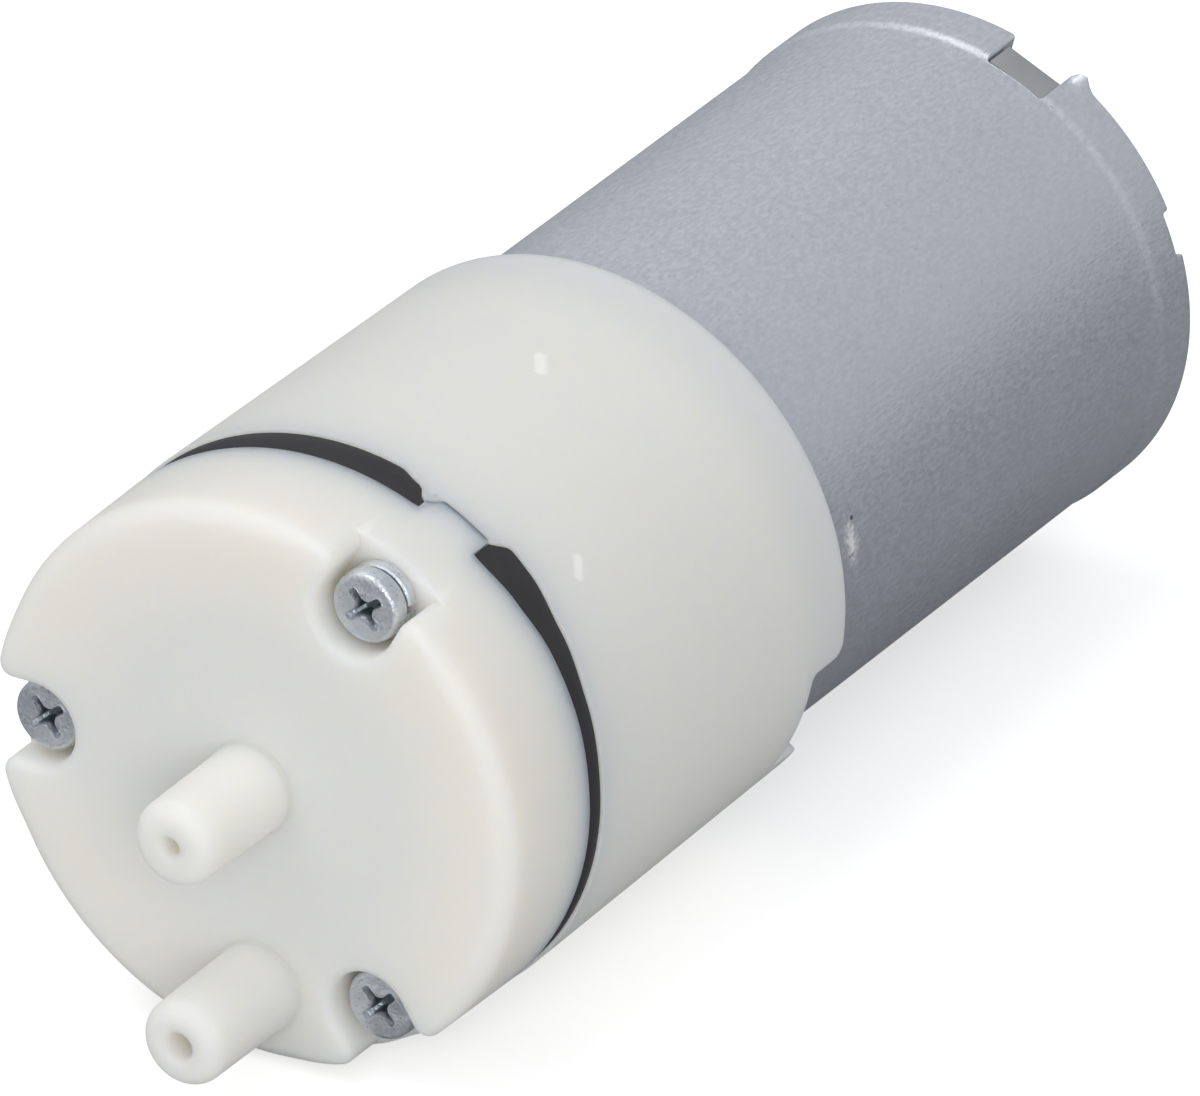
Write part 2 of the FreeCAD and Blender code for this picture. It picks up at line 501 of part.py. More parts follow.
def head_cover():
    """Moulded cover: two nozzles, screw recesses, air passages and the pads through the rubber."""
    body = turned_body("head_cover", [
        ("0", FACE),
        (COVER_FACE_RADIUS, FACE),
        (COVER_REAR_RADIUS, BAND_FRONT),
        ("0", BAND_FRONT),
    ])
    disc = body.Tip
    face_radius = number(COVER_FACE_RADIUS)
    rim = edges_where(disc, lambda edge: is_circle(edge, face_radius, number(FACE)))
    round_edges(body, disc, rim, "sizes.cover_edge")
    nozzles = cross_sketch(body, "nozzles", FACE)
    add_circle(nozzles, "sizes.nozzle_radius")
    add_circle(nozzles, "sizes.nozzle_radius", "0", f"-1 * {INLET_OFFSET}")
    add_pad(body, nozzles, "sizes.nozzle_length")
    plate_bed = cross_sketch(body, "plate_bed", BAND_FRONT)
    add_circle(plate_bed, f"{PLATE_RADIUS} + sizes.moulding_gap")
    add_pocket(body, plate_bed, "sizes.plate_thickness", "front")
    boss = cross_sketch(body, "screw_boss", PLATE_FRONT, turn="sizes.screw_first")
    add_circle(boss, "sizes.boss_radius - sizes.moulding_gap", SCREW_CIRCLE)
    bosses = add_pad(body, boss, "sizes.plate_thickness", "rear")
    repeat(body, [bosses], CHAMBERS)
    room_depth = "sizes.cover_length - sizes.plate_thickness - sizes.face_wall"
    rooms = cross_sketch(body, "air_rooms", PLATE_FRONT)
    add_circle(rooms, INLET_ROOM)
    add_circle(rooms, f"{OUTLET_ROOM} + sizes.room_wall")
    add_pocket(body, rooms, room_depth, "front")
    outlet = cross_sketch(body, "outlet_room", PLATE_FRONT)
    add_circle(outlet, OUTLET_ROOM)
    add_pocket(body, outlet, room_depth, "front")
    port_half = "(sizes.nozzle_bore + sizes.port_side)"
    inlet = cross_sketch(body, "inlet_port", PLATE_FRONT)
    add_box(inlet, f"-1 * {port_half}", f"-1 * ({INLET_OFFSET} + sizes.nozzle_bore)", port_half,
            f"-1 * ({OUTLET_ROOM} + sizes.room_wall + sizes.port_radius)")
    add_pocket(body, inlet, room_depth, "front")
    bores = cross_sketch(body, "nozzle_bores", NOZZLE_TIP)
    add_circle(bores, "sizes.nozzle_bore")
    add_circle(bores, "sizes.nozzle_bore", "0", f"-1 * {INLET_OFFSET}")
    add_pocket(body, bores, "sizes.nozzle_length + sizes.face_wall")
    pad = cross_sketch(body, "pad_root", BAND_FRONT, turn="sizes.screw_first")
    add_circle(pad, PAD_HALF, SCREW_CIRCLE)
    roots = add_pad(body, pad, "sizes.band_thickness", "rear")
    tongue = cross_sketch(body, "pad_tongue", BAND_FRONT, turn="sizes.screw_first")
    add_box(tongue, SCREW_CIRCLE, f"-1 * {PAD_HALF}", f"{COVER_REAR_RADIUS} + sizes.overcut", PAD_HALF)
    tongues = add_pad(body, tongue, "sizes.band_thickness", "rear")
    repeat(body, [roots, tongues], CHAMBERS)
    trim = new_sketch(body, "pad_trim", "XY_Plane")
    add_box(trim, COVER_REAR_RADIUS, BAND_FRONT, f"{COVER_REAR_RADIUS} + 2 * sizes.overcut", BAND_REAR)
    add_groove(body, trim)
    recess = cross_sketch(body, "screw_recess", FACE, turn="sizes.screw_first")
    add_circle(recess, HEAD_CUT, SCREW_CIRCLE)
    recess_depth = "sizes.head_setback + sizes.screw_head_height + sizes.washer_thickness"
    round_recess = add_pocket(body, recess, recess_depth)
    mouth = cross_sketch(body, "recess_mouth", FACE, turn="sizes.screw_first")
    add_box(mouth, SCREW_CIRCLE, f"-1 * {HEAD_CUT}", f"{COVER_REAR_RADIUS} + sizes.overcut", HEAD_CUT)
    open_recess = add_pocket(body, mouth, recess_depth)
    hole = cross_sketch(body, "screw_hole", FACE, turn="sizes.screw_first")
    add_circle(hole, "sizes.screw_core + sizes.screw_hole_gap", SCREW_CIRCLE)
    holes = add_pocket(body, hole, "sizes.cover_length + sizes.band_thickness")
    cuts = repeat(body, [round_recess, open_recess, holes], CHAMBERS)
    nozzle_radius = number("sizes.nozzle_radius")
    tip = edges_where(cuts, lambda edge: is_circle(edge, nozzle_radius, number(NOZZLE_TIP)))
    tips = round_edges(body, cuts, tip, "sizes.nozzle_tip")
    root = edges_where(tips, lambda edge: is_circle(edge, nozzle_radius, number(FACE)))
    roots = round_edges(body, tips, root, "sizes.nozzle_root")
    recess_radius = number(HEAD_CUT)
    mouths = edges_where(roots, lambda edge: is_circle(edge, recess_radius, number(FACE)))
    lines = edges_where(roots, lambda edge: is_line(edge, number(FACE)))
    round_edges(body, roots, mouths + lines, "sizes.recess_edge")
    lips = cross_sketch(body, "recess_lips", FACE, turn="sizes.screw_first")
    add_flare(lips, HEAD_CUT, COVER_REAR_RADIUS, "sizes.recess_lip", "sizes.overcut")
    repeat(body, [add_pocket(body, lips, recess_depth)], CHAMBERS)


def lower_housing():
    """Moulded housing with draft: seat for the cup plate, screw bosses, motor wall and the skirt over the can."""
    boss_hole = "sizes.motor_boss_radius + sizes.boss_hole_gap"
    body = turned_body("lower_housing", [
        (boss_hole, CAN_FRONT),
        (SKIRT_INSIDE, CAN_FRONT),
        (SKIRT_INSIDE, HOUSING_REAR),
        (HOUSING_REAR_RADIUS, HOUSING_REAR),
        (HOUSING_FRONT_RADIUS, BAND_REAR),
        (SEAT_INSIDE, BAND_REAR),
        (SEAT_INSIDE, SEAT_REAR),
        (CAVITY_RADIUS, SEAT_REAR),
        (CAVITY_RADIUS, WALL_FRONT),
        (boss_hole, WALL_FRONT),
    ])
    boss = cross_sketch(body, "screw_boss", BAND_REAR, turn="sizes.screw_first")
    add_circle(boss, "sizes.boss_radius", SCREW_CIRCLE)
    bosses = add_pad(body, boss, BOSS_LENGTH, "rear")
    pilot = cross_sketch(body, "pilot_hole", BAND_REAR, turn="sizes.screw_first")
    add_circle(pilot, "sizes.screw_core", SCREW_CIRCLE)
    pilots = add_pocket(body, pilot, f"{BOSS_LENGTH} - sizes.pilot_floor")
    repeat(body, [bosses, pilots], CHAMBERS)
    screws = cross_sketch(body, "motor_screw_holes", WALL_FRONT)
    shank = "sizes.motor_screw_radius + sizes.boss_hole_gap"
    add_circle(screws, shank, MOTOR_SCREW_OFFSET)
    add_circle(screws, shank, f"-1 * {MOTOR_SCREW_OFFSET}")
    add_pocket(body, screws, "sizes.rear_wall")
    notch = cross_sketch(body, "skirt_notch", HOUSING_REAR, turn="sizes.notch_angle")
    add_box(notch, CAN_INSIDE, "-sizes.notch_width / 2",
            f"{HOUSING_FRONT_RADIUS} + sizes.overcut", "sizes.notch_width / 2")
    cut = add_pocket(body, notch, "sizes.notch_depth", "front")
    corners = edges_where(cut, lambda edge: is_line(edge, number(HOUSING_REAR)))
    round_edges(body, cut, corners, "sizes.notch_corner")


def diaphragm():
    """Rubber sheet with three cups, each drawn at the place that the tilted plate gives it."""
    radius = number(f"{HOUSING_FRONT_RADIUS} - sizes.band_inset")
    front = number(BAND_FRONT)
    rear = number(BAND_REAR)
    slot = number(SLOT_HALF)
    circle = number(SCREW_CIRCLE)
    cup_circle = number(CUP_CIRCLE)
    mouth = number("sizes.cup_mouth")
    wall = number("sizes.cup_wall")
    gap = number("sizes.rubber_gap")
    floor = number("sizes.cup_floor")
    floor_radius = number("sizes.cup_floor_radius")
    arm = number("sizes.arm_thickness")
    bulb = number("sizes.bulb_radius")
    bulb_length = number("sizes.bulb_length")
    stem = number("sizes.stem_radius")
    tilted = Placement(Vector(0, number(NUTATION), 0), Rotation(Z_AXIS, -number("sizes.tilt")))
    normal = tilted.Rotation.multVec(Y_AXIS)
    sheet_disc = Part.makeCylinder(radius, rear - front, Vector(0, front, 0), Y_AXIS)
    step = number(CHAMBER_STEP)
    for i in range(CHAMBERS):
        turn = Rotation(Y_AXIS, -number("sizes.screw_first") - step * i)
        place = Placement(ORIGIN, turn)
        notch = Part.makeCylinder(slot, rear - front, Vector(circle, front, 0), Y_AXIS)
        notch = notch.fuse(Part.makeBox(radius, rear - front, 2 * slot, Vector(circle, front, -slot)))
        sheet_disc = sheet_disc.cut(notch.transformGeometry(place.toMatrix()))
    shape = sheet_disc
    hollows = []
    for i in range(CHAMBERS):
        around = Rotation(Y_AXIS, -step * i)
        flat = around.multVec(Vector(cup_circle, 0, 0))
        seat = tilted.multVec(flat - Y_AXIS * gap)
        outer_top = Part.makeCircle(mouth + wall, Vector(flat.x, rear, flat.z), Y_AXIS)
        outer_floor = Part.makeCircle(floor_radius, seat, normal)
        inner_top = Part.makeCircle(mouth, Vector(flat.x, front, flat.z), Y_AXIS)
        inner_floor = Part.makeCircle(floor_radius - wall, seat - normal * floor, normal)
        cup = Part.makeLoft([Part.Wire(outer_top), Part.Wire(outer_floor)], True, True)
        hollows.append(Part.makeLoft([Part.Wire(inner_top), Part.Wire(inner_floor)], True, True))
        back = seat + normal * (arm + 2 * gap)
        shank = Part.makeCylinder(stem, arm + 2 * gap + bulb_length / 2, seat, normal)
        barb = Part.makeCone(bulb, stem, bulb_length, back, normal)
        shape = shape.fuse([cup, shank, barb])
    for hollow in hollows:
        shape = shape.cut(hollow)
    piece = doc.addObject("Part::Feature", "diaphragm")
    piece.Label = "diaphragm"
    piece.Shape = shape.removeSplitter()
    NODES.append(piece)


def cylinder_plate():
    """Plate in the housing's seat that the three cups hang through."""
    body = turned_body("cylinder_plate", [
        ("0", BAND_REAR),
        (SEAT_RADIUS, BAND_REAR),
        (SEAT_RADIUS, SEAT_REAR),
        ("0", SEAT_REAR),
    ])
    hole = cross_sketch(body, "cup_hole", BAND_REAR)
    add_circle(hole, "sizes.cup_mouth + sizes.cup_wall + sizes.seat_hole_gap", CUP_CIRCLE)
    holes = add_pocket(body, hole, "sizes.seat_thickness")
    scallop = cross_sketch(body, "boss_scallop", BAND_REAR, turn="sizes.screw_first")
    add_circle(scallop, "sizes.boss_radius + sizes.moulding_gap", SCREW_CIRCLE)
    scallops = add_pocket(body, scallop, "sizes.seat_thickness")
    repeat(body, [holes, scallops], CHAMBERS)


def valve_plate():
    """Plate between the cups and the cover's air passages, with its ports and stem holes."""
    body = turned_body("valve_plate", [
        ("0", PLATE_FRONT),
        (PLATE_RADIUS, PLATE_FRONT),
        (PLATE_RADIUS, BAND_FRONT),
        ("0", BAND_FRONT),
    ])
    scallop = cross_sketch(body, "boss_scallop", PLATE_FRONT, turn="sizes.screw_first")
    add_circle(scallop, "sizes.boss_radius", SCREW_CIRCLE)
    scallops = add_pocket(body, scallop, "sizes.plate_thickness")
    ports = cross_sketch(body, "ports", PLATE_FRONT)
    add_circle(ports, "sizes.port_radius", OUTLET_PORT_CIRCLE)
    add_circle(ports, "sizes.valve_stem + sizes.stem_gap", INLET_VALVE_CIRCLE)
    for i in range(CHAMBERS):
        x, y = radial_point("sizes.inlet_port_circle", f"{CHAMBER_STEP} * {i} + {CHAMBER_STEP} / 2")
        add_circle(ports, "sizes.inlet_port_radius", f"{INLET_VALVE_CIRCLE} + {x}", y)
    holes = add_pocket(body, ports, "sizes.plate_thickness")
    repeat(body, [scallops, holes], CHAMBERS)
    centre = cross_sketch(body, "centre_hole", PLATE_FRONT)
    add_circle(centre, "sizes.valve_stem + sizes.stem_gap")
    add_pocket(body, centre, "sizes.plate_thickness")
    well = cross_sketch(body, "bulb_well", BAND_FRONT)
    add_circle(well, "sizes.valve_well_radius")
    add_pocket(body, well, "sizes.valve_well_depth", "front")


def turn_about_axis(piece, angle):
    """Turn a finished sub-part about the pump axis, from +X towards +Z."""
    piece.Placement = Placement(ORIGIN, Rotation(FORWARD, number(angle)))
    piece.setExpression("Placement.Rotation.Angle", angle)


def valve(name, disc_radius, disc_from, disc_to, stem_to, bulb_to, shift=None, angle=None):
    """Umbrella valve: a skirt, a stem through the plate and a bulb, turned about its own stem."""
    body = new_body(name)
    sketch = new_sketch(body, name + "_section", "XY_Plane", shift=shift)
    add_polygon(sketch, [
        ("0", disc_from),
        (disc_radius, disc_from),
        (disc_radius, disc_to),
        ("sizes.valve_stem", disc_to),
        ("sizes.valve_stem", stem_to),
        ("sizes.valve_bulb", stem_to),
        ("sizes.valve_stem", bulb_to),
        ("0", bulb_to),
    ])
    add_revolution(body, sketch)
    if angle is not None:
        turn_about_axis(body, angle)


def valves():
    """One outlet valve in the centre and one inlet valve over each cup."""
    outlet_bulb = f"({BAND_FRONT} - sizes.valve_well_depth + sizes.valve_lift + sizes.stem_gap)"
    valve("outlet_valve", f"{OUTLET_ROOM} - sizes.outlet_disc_gap", f"{PLATE_FRONT} - sizes.valve_disc", PLATE_FRONT,
          outlet_bulb, f"{outlet_bulb} + sizes.valve_bulb_length")
    inlet_bulb = f"({PLATE_FRONT} - sizes.valve_lift - sizes.stem_gap)"
    for i, name in enumerate(("inlet_valve_side", "inlet_valve_upper", "inlet_valve_lower")):
        valve(name, "sizes.inlet_disc_radius", f"{BAND_FRONT} + sizes.valve_disc", BAND_FRONT, inlet_bulb,
              f"{inlet_bulb} - sizes.valve_bulb_length", INLET_VALVE_CIRCLE, f"{CHAMBER_STEP} * {i}")


def cross_slots(body, station, x="0", y="0"):
    """Two crossing slots in the front of a screw head."""
    cuts = []
    for label, half_x, half_y in (("a", "sizes.cross_length / 2", "sizes.cross_width / 2"),
                                  ("b", "sizes.cross_width / 2", "sizes.cross_length / 2")):
        slot = cross_sketch(body, f"cross_{label}", station)
        add_box(slot, f"{x} - {half_x}", f"{y} - {half_y}", f"{x} + {half_x}", f"{y} + {half_y}")
        cuts.append(add_pocket(body, slot, "sizes.cross_depth"))
    return cuts


def head_screws():
    """Three pan-head screws that pull the cover down onto the housing."""
    body = new_body("head_screws")
    sketch = new_sketch(body, "screw_section", "XY_Plane", shift=SCREW_CIRCLE)
    tip = f"({HEAD_REAR} + sizes.screw_length)"
    add_polygon(sketch, [
        ("0", HEAD_FRONT),
        ("sizes.screw_head_radius - sizes.screw_head_round", HEAD_FRONT),
        ("sizes.screw_head_radius", f"{HEAD_FRONT} + sizes.screw_head_round"),
        ("sizes.screw_head_radius", HEAD_REAR),
        ("sizes.screw_core", HEAD_REAR),
        ("sizes.screw_core", f"{tip} - sizes.screw_tip"),
        ("sizes.screw_core - sizes.screw_tip", tip),
        ("0", tip),
    ])
    screw = add_revolution(body, sketch)
    slots = cross_slots(body, HEAD_FRONT, SCREW_CIRCLE)
    repeat(body, [screw] + slots, CHAMBERS)
    turn_about_axis(body, "sizes.screw_first")


def lock_washers():
    """Three split spring washers under the screw heads."""
    body = new_body("lock_washers")
    sketch = new_sketch(body, "washer_section", "XY_Plane", shift=SCREW_CIRCLE)
    add_box(sketch, "sizes.screw_core + sizes.screw_hole_gap", HEAD_REAR, "sizes.washer_radius", RECESS_FLOOR)
    ring = add_revolution(body, sketch, f"{FULL_TURN} - sizes.washer_opening")
    repeat(body, [ring], CHAMBERS)
    turn_about_axis(body, "sizes.screw_first")


def motor_screws():
    """Two machine screws that hold the motor to the housing's rear wall."""
    body = new_body("motor_screws")
    head = f"({WALL_FRONT} - sizes.motor_screw_head_height)"
    sketch = new_sketch(body, "screw_section", "XY_Plane", shift=MOTOR_SCREW_OFFSET)
    tip = f"({WALL_FRONT} + sizes.motor_screw_reach + sizes.rear_wall)"
    add_polygon(sketch, [
        ("0", head),
        ("sizes.motor_screw_head - sizes.screw_head_round", head),
        ("sizes.motor_screw_head", f"{head} + sizes.screw_head_round"),
        ("sizes.motor_screw_head", WALL_FRONT),
        ("sizes.motor_screw_radius", WALL_FRONT),
        ("sizes.motor_screw_radius", tip),
        ("0", tip),
    ])
    screw = add_revolution(body, sketch)
    slots = cross_slots(body, head, MOTOR_SCREW_OFFSET)
    repeat(body, [screw] + slots, 2)


def motor_can():
    """Drawn steel can: bearing boss, screw holes, swaged rear band and the notches in its rim."""
    swage_front = f"({CAN_REAR} - sizes.swage_length)"
    body = turned_body("motor_can", [
        ("sizes.bearing_radius", f"{CAN_FRONT} - sizes.motor_boss_length"),
        ("sizes.motor_boss_radius", f"{CAN_FRONT} - sizes.motor_boss_length"),
        ("sizes.motor_boss_radius", CAN_FRONT),
        ("sizes.can_radius - sizes.can_corner", CAN_FRONT),
        ("sizes.can_radius", f"{CAN_FRONT} + sizes.can_corner"),
        ("sizes.can_radius", f"{swage_front} - sizes.swage_rise"),
        ("sizes.can_radius + sizes.swage_rise", swage_front),
        ("sizes.can_radius + sizes.swage_rise", CAN_REAR),
        (CAN_INSIDE, CAN_REAR),
        (CAN_INSIDE, f"{CAN_FRONT} + sizes.can_wall"),
        ("sizes.bearing_radius", f"{CAN_FRONT} + sizes.can_wall"),
    ])
    holes = cross_sketch(body, "screw_holes", CAN_FRONT)
    for side in ("", "-1 * "):
        add_circle(holes, "sizes.motor_screw_radius + sizes.boss_hole_gap", f"{side}{MOTOR_SCREW_OFFSET}")
    add_pocket(body, holes, "sizes.can_wall")
    outside = "sizes.can_radius + sizes.overcut"
    inside = f"{CAN_INSIDE} - sizes.overcut"
    deep = cross_sketch(body, "key_notch", CAN_REAR, turn="sizes.key_angle")
    half = "(sizes.key_width / 2 + sizes.key_gap)"
    add_box(deep, inside, f"-1 * {half}", outside, half)
    deep_cut = add_pocket(body, deep, "sizes.key_notch_depth", "front")
    shallow = cross_sketch(body, "crimp_notch", CAN_REAR, turn="sizes.crimp_angle")
    add_box(shallow, inside, "-sizes.crimp_width / 2", outside, "sizes.crimp_width / 2")
    shallow_cut = add_pocket(body, shallow, "sizes.crimp_depth", "front")
    repeat(body, [deep_cut, shallow_cut], 2)


def end_cap():
    """Moulded end cap: a disc with two keys for the can's notches and the rear bearing boss."""
    disc_radius = f"{CAN_INSIDE} - sizes.moulding_gap"
    body = turned_body("end_cap", [
        ("sizes.bearing_radius", CAP_FRONT),
        (disc_radius, CAP_FRONT),
        (disc_radius, CAP_REAR),
        ("sizes.cap_boss_radius", CAP_REAR),
        ("sizes.cap_boss_radius - sizes.screw_head_round", CAP_BOSS_REAR),
        ("sizes.bearing_radius", CAP_BOSS_REAR),
    ])
    key = cross_sketch(body, "key", CAP_REAR, turn="sizes.key_angle")
    add_box(key, "sizes.cap_boss_radius + sizes.overcut", "-sizes.key_width / 2", "sizes.can_radius - sizes.key_gap",
            "sizes.key_width / 2")
    key_pad = add_pad(body, key, "sizes.key_notch_depth - sizes.cap_inset - sizes.key_gap")
    slot = cross_sketch(body, "terminal_slot", CAP_REAR, turn=TERMINAL_TURN)
    half_thick = "sizes.terminal_thickness / 2"
    add_box(slot, f"{TERMINAL_OFFSET} - {half_thick}", "-sizes.terminal_width / 2",
            f"{TERMINAL_OFFSET} + {half_thick}", "sizes.terminal_width / 2")
    slot_cut = add_pocket(body, slot, "sizes.cap_thickness", "front")
    repeat(body, [key_pad, slot_cut], 2)


def bearings():
    """Two sintered bushes: one in the can's boss, one in the end cap."""
    bore = "sizes.shaft_radius + sizes.bearing_gap"
    front = f"({CAN_FRONT} - sizes.motor_boss_length)"
    tube("front_bearing", bore, "sizes.bearing_radius", front, f"{front} + sizes.bearing_length")
    tube("rear_bearing", bore, "sizes.bearing_radius", CAP_FRONT, f"{CAP_FRONT} + sizes.bearing_length")


def magnets():
    """Two ferrite arcs on the can's wall."""
    for name, angle in (("magnet_left", "180"), ("magnet_right", "0")):
        body = new_body(name)
        sketch = new_sketch(body, name + "_section", "XY_Plane")
        add_box(sketch, MAGNET_INSIDE, MAGNET_FRONT, CAN_INSIDE, MAGNET_REAR)
        add_revolution(body, sketch, "sizes.magnet_span")
        turn_about_axis(body, angle)


def magnet_spring():
    """Spring between the magnets' ends that spreads them against the can."""
    body = new_body("magnet_spring")
    sketch = new_sketch(body, "spring_section", "XY_Plane")
    outer = f"({CAN_INSIDE} - sizes.moulding_gap)"
    add_box(sketch, f"{outer} - sizes.clip_wire", MAGNET_FRONT, outer, MAGNET_REAR)
    add_revolution(body, sketch, f"{FULL_TURN} / 2 - sizes.magnet_span - 2 * sizes.clip_side_angle")
    slot = cross_sketch(body, "spring_slot", MAGNET_FRONT)
    add_box(slot, "0", "-sizes.clip_window / 2", "sizes.can_radius", "sizes.clip_window / 2")
    add_pocket(body, slot, f"{MAGNET_REAR} - {MAGNET_FRONT} - 2 * sizes.clip_wire")
    turn_about_axis(body, "90")


def armature():
    """Three-pole lamination stack with its coils, the shaft's sleeve and the commutator."""
    body = tube("armature_core", "sizes.shaft_radius", "sizes.core_radius", STACK_FRONT, STACK_REAR)
    arm = cross_sketch(body, "pole", STACK_FRONT)
    shoe_inner = f"({ROTOR_RADIUS} - sizes.shoe_thickness)"
    half_pole = "sizes.pole_width / 2"
    add_box(arm, "(sizes.shaft_radius + sizes.core_radius) / 2", f"-{half_pole}",
            f"{shoe_inner} + sizes.shoe_thickness / 2", half_pole)
    pole = add_pad(body, arm, f"{STACK_REAR} - {STACK_FRONT}", "rear")
    shoe_section = new_sketch(body, "shoe", "XY_Plane")
    add_box(shoe_section, shoe_inner, STACK_FRONT, ROTOR_RADIUS, STACK_REAR)
    shoe = add_revolution(body, shoe_section, "sizes.shoe_span")
    repeat(body, [pole, shoe], POLES)

    coils = new_body("armature_coils")
    half_inner = f"({half_pole} + sizes.coil_gap)"
    half_outer = f"({half_inner} + sizes.coil_side)"
    outer_reach = f"sqrt({shoe_inner} * {shoe_inner} - {half_outer} * {half_outer}) - sizes.coil_gap"
    inner_reach = f"(sizes.core_radius + sizes.coil_gap + sizes.coil_side / 2)"
    coil = new_sketch(coils, "coil", "YZ_Plane", offset=inner_reach)
    coil_front = f"{STACK_FRONT} - sizes.coil_gap"
    coil_rear = f"{STACK_REAR} + sizes.coil_gap"
    add_box(coil, f"{coil_front} - sizes.coil_end", f"-1 * {half_outer}", f"{coil_rear} + sizes.coil_end", half_outer)
    add_box(coil, coil_front, f"-1 * {half_inner}", coil_rear, half_inner)
    winding = add_pad(coils, coil, f"{outer_reach} - {inner_reach}")
    repeat(coils, [winding], POLES)

    boss_rear = f"({CAN_FRONT} - sizes.motor_boss_length + sizes.bearing_length)"
    tube("rotor_sleeve", "sizes.shaft_radius", "sizes.spacer_radius", f"{boss_rear} + sizes.end_play", STACK_FRONT)

    hub = tube("commutator_hub", "sizes.shaft_radius", "sizes.commutator_radius - sizes.commutator_wall",
               STACK_REAR, COMMUTATOR_REAR)
    bars = tube("commutator_bars", "sizes.commutator_radius - sizes.commutator_wall", "sizes.commutator_radius",
                COMMUTATOR_FRONT, COMMUTATOR_REAR)
    slot = cross_sketch(bars, "bar_slot", COMMUTATOR_FRONT)
    add_box(slot, "0", "-sizes.commutator_slot / 2", "sizes.commutator_radius + sizes.overcut",
            "sizes.commutator_slot / 2")
    repeat(bars, [add_pocket(bars, slot, "sizes.commutator_length")], POLES)
    tube("thrust_washer", "sizes.shaft_radius", "sizes.spacer_radius", COMMUTATOR_REAR,
         f"{COMMUTATOR_REAR} + sizes.thrust_length")


def brushes_and_terminals():
    """On each side a brass terminal with its spring arm, and a carbon brush on the commutator."""
    middle = f"({COMMUTATOR_FRONT} + sizes.commutator_length / 2)"
    half_width = "sizes.brush_width / 2"
    face = "(sizes.commutator_radius + sizes.brush_gap)"
    back = f"({face} + sizes.brush_length)"
    for side, extra in (("left", "180"), ("right", "0")):
        angle = f"{TERMINAL_TURN} + {extra}"
        brush = new_body(f"brush_{side}")
        block = new_sketch(brush, "brush_block", "XY_Plane")
        add_box(block, face, f"{middle} - {half_width}", back, f"{middle} + {half_width}")
        pad = brush.newObject("PartDesign::Pad", "brush_pad")
        pad.Profile = block
        pad.Midplane = True
        pad.setExpression("Length", "sizes.brush_width")
        turn_about_axis(brush, angle)

        terminal = new_body(f"terminal_{side}")
        section = new_sketch(terminal, "terminal_bend", "XY_Plane")
        tab_inner = f"({TERMINAL_OFFSET} - sizes.terminal_thickness / 2)"
        tab_outer = f"({TERMINAL_OFFSET} + sizes.terminal_thickness / 2)"
        tab_end = f"({CAP_REAR} + sizes.terminal_reach)"
        bend = f"({CAP_FRONT} - sizes.arm_sheet)"
        arm_front = f"({middle} - sizes.brush_width)"
        add_polygon(section, [
            (tab_outer, bend),
            (tab_outer, tab_end),
            (tab_inner, tab_end),
            (tab_inner, CAP_FRONT),
            (back, CAP_FRONT),
            (back, arm_front),
            (f"{back} + sizes.arm_sheet", arm_front),
            (f"{back} + sizes.arm_sheet", bend),
        ])
        strip = terminal.newObject("PartDesign::Pad", "terminal_strip")
        strip.Profile = section
        strip.Midplane = True
        strip.setExpression("Length", "sizes.terminal_width")
        hole = new_sketch(terminal, "solder_hole", "YZ_Plane", offset=tab_outer)
        add_circle(hole, "sizes.terminal_hole", f"{tab_end} - sizes.terminal_width / 2", "0")
        add_pocket(terminal, hole, "sizes.terminal_thickness")
        turn_about_axis(terminal, angle)


def cylinder(name, radius, front, rear):
    """A plain round bar along the pump axis."""
    bar = doc.addObject("Part::Cylinder", name)
    bar.Placement = Placement(ORIGIN, Rotation(Z_AXIS, Y_AXIS))
    bar.setExpression("Radius", radius)
    bar.setExpression("Height", f"{rear} - ({front})")
    bar.setExpression("Placement.Base.y", front)
    return bar


def along_pin(bar, start):
    """Lay a bar along the tilted pin's axis, starting at this distance from the nutation centre."""
    tilt = number("sizes.tilt")
    bar.Placement = Placement(ORIGIN, Rotation(Z_AXIS, -tilt) * Rotation(Z_AXIS, Y_AXIS))
    bar.setExpression("Placement.Base.x", f"({start}) * sin(sizes.tilt)")
    bar.setExpression("Placement.Base.y", f"{NUTATION} + ({start}) * cos(sizes.tilt)")


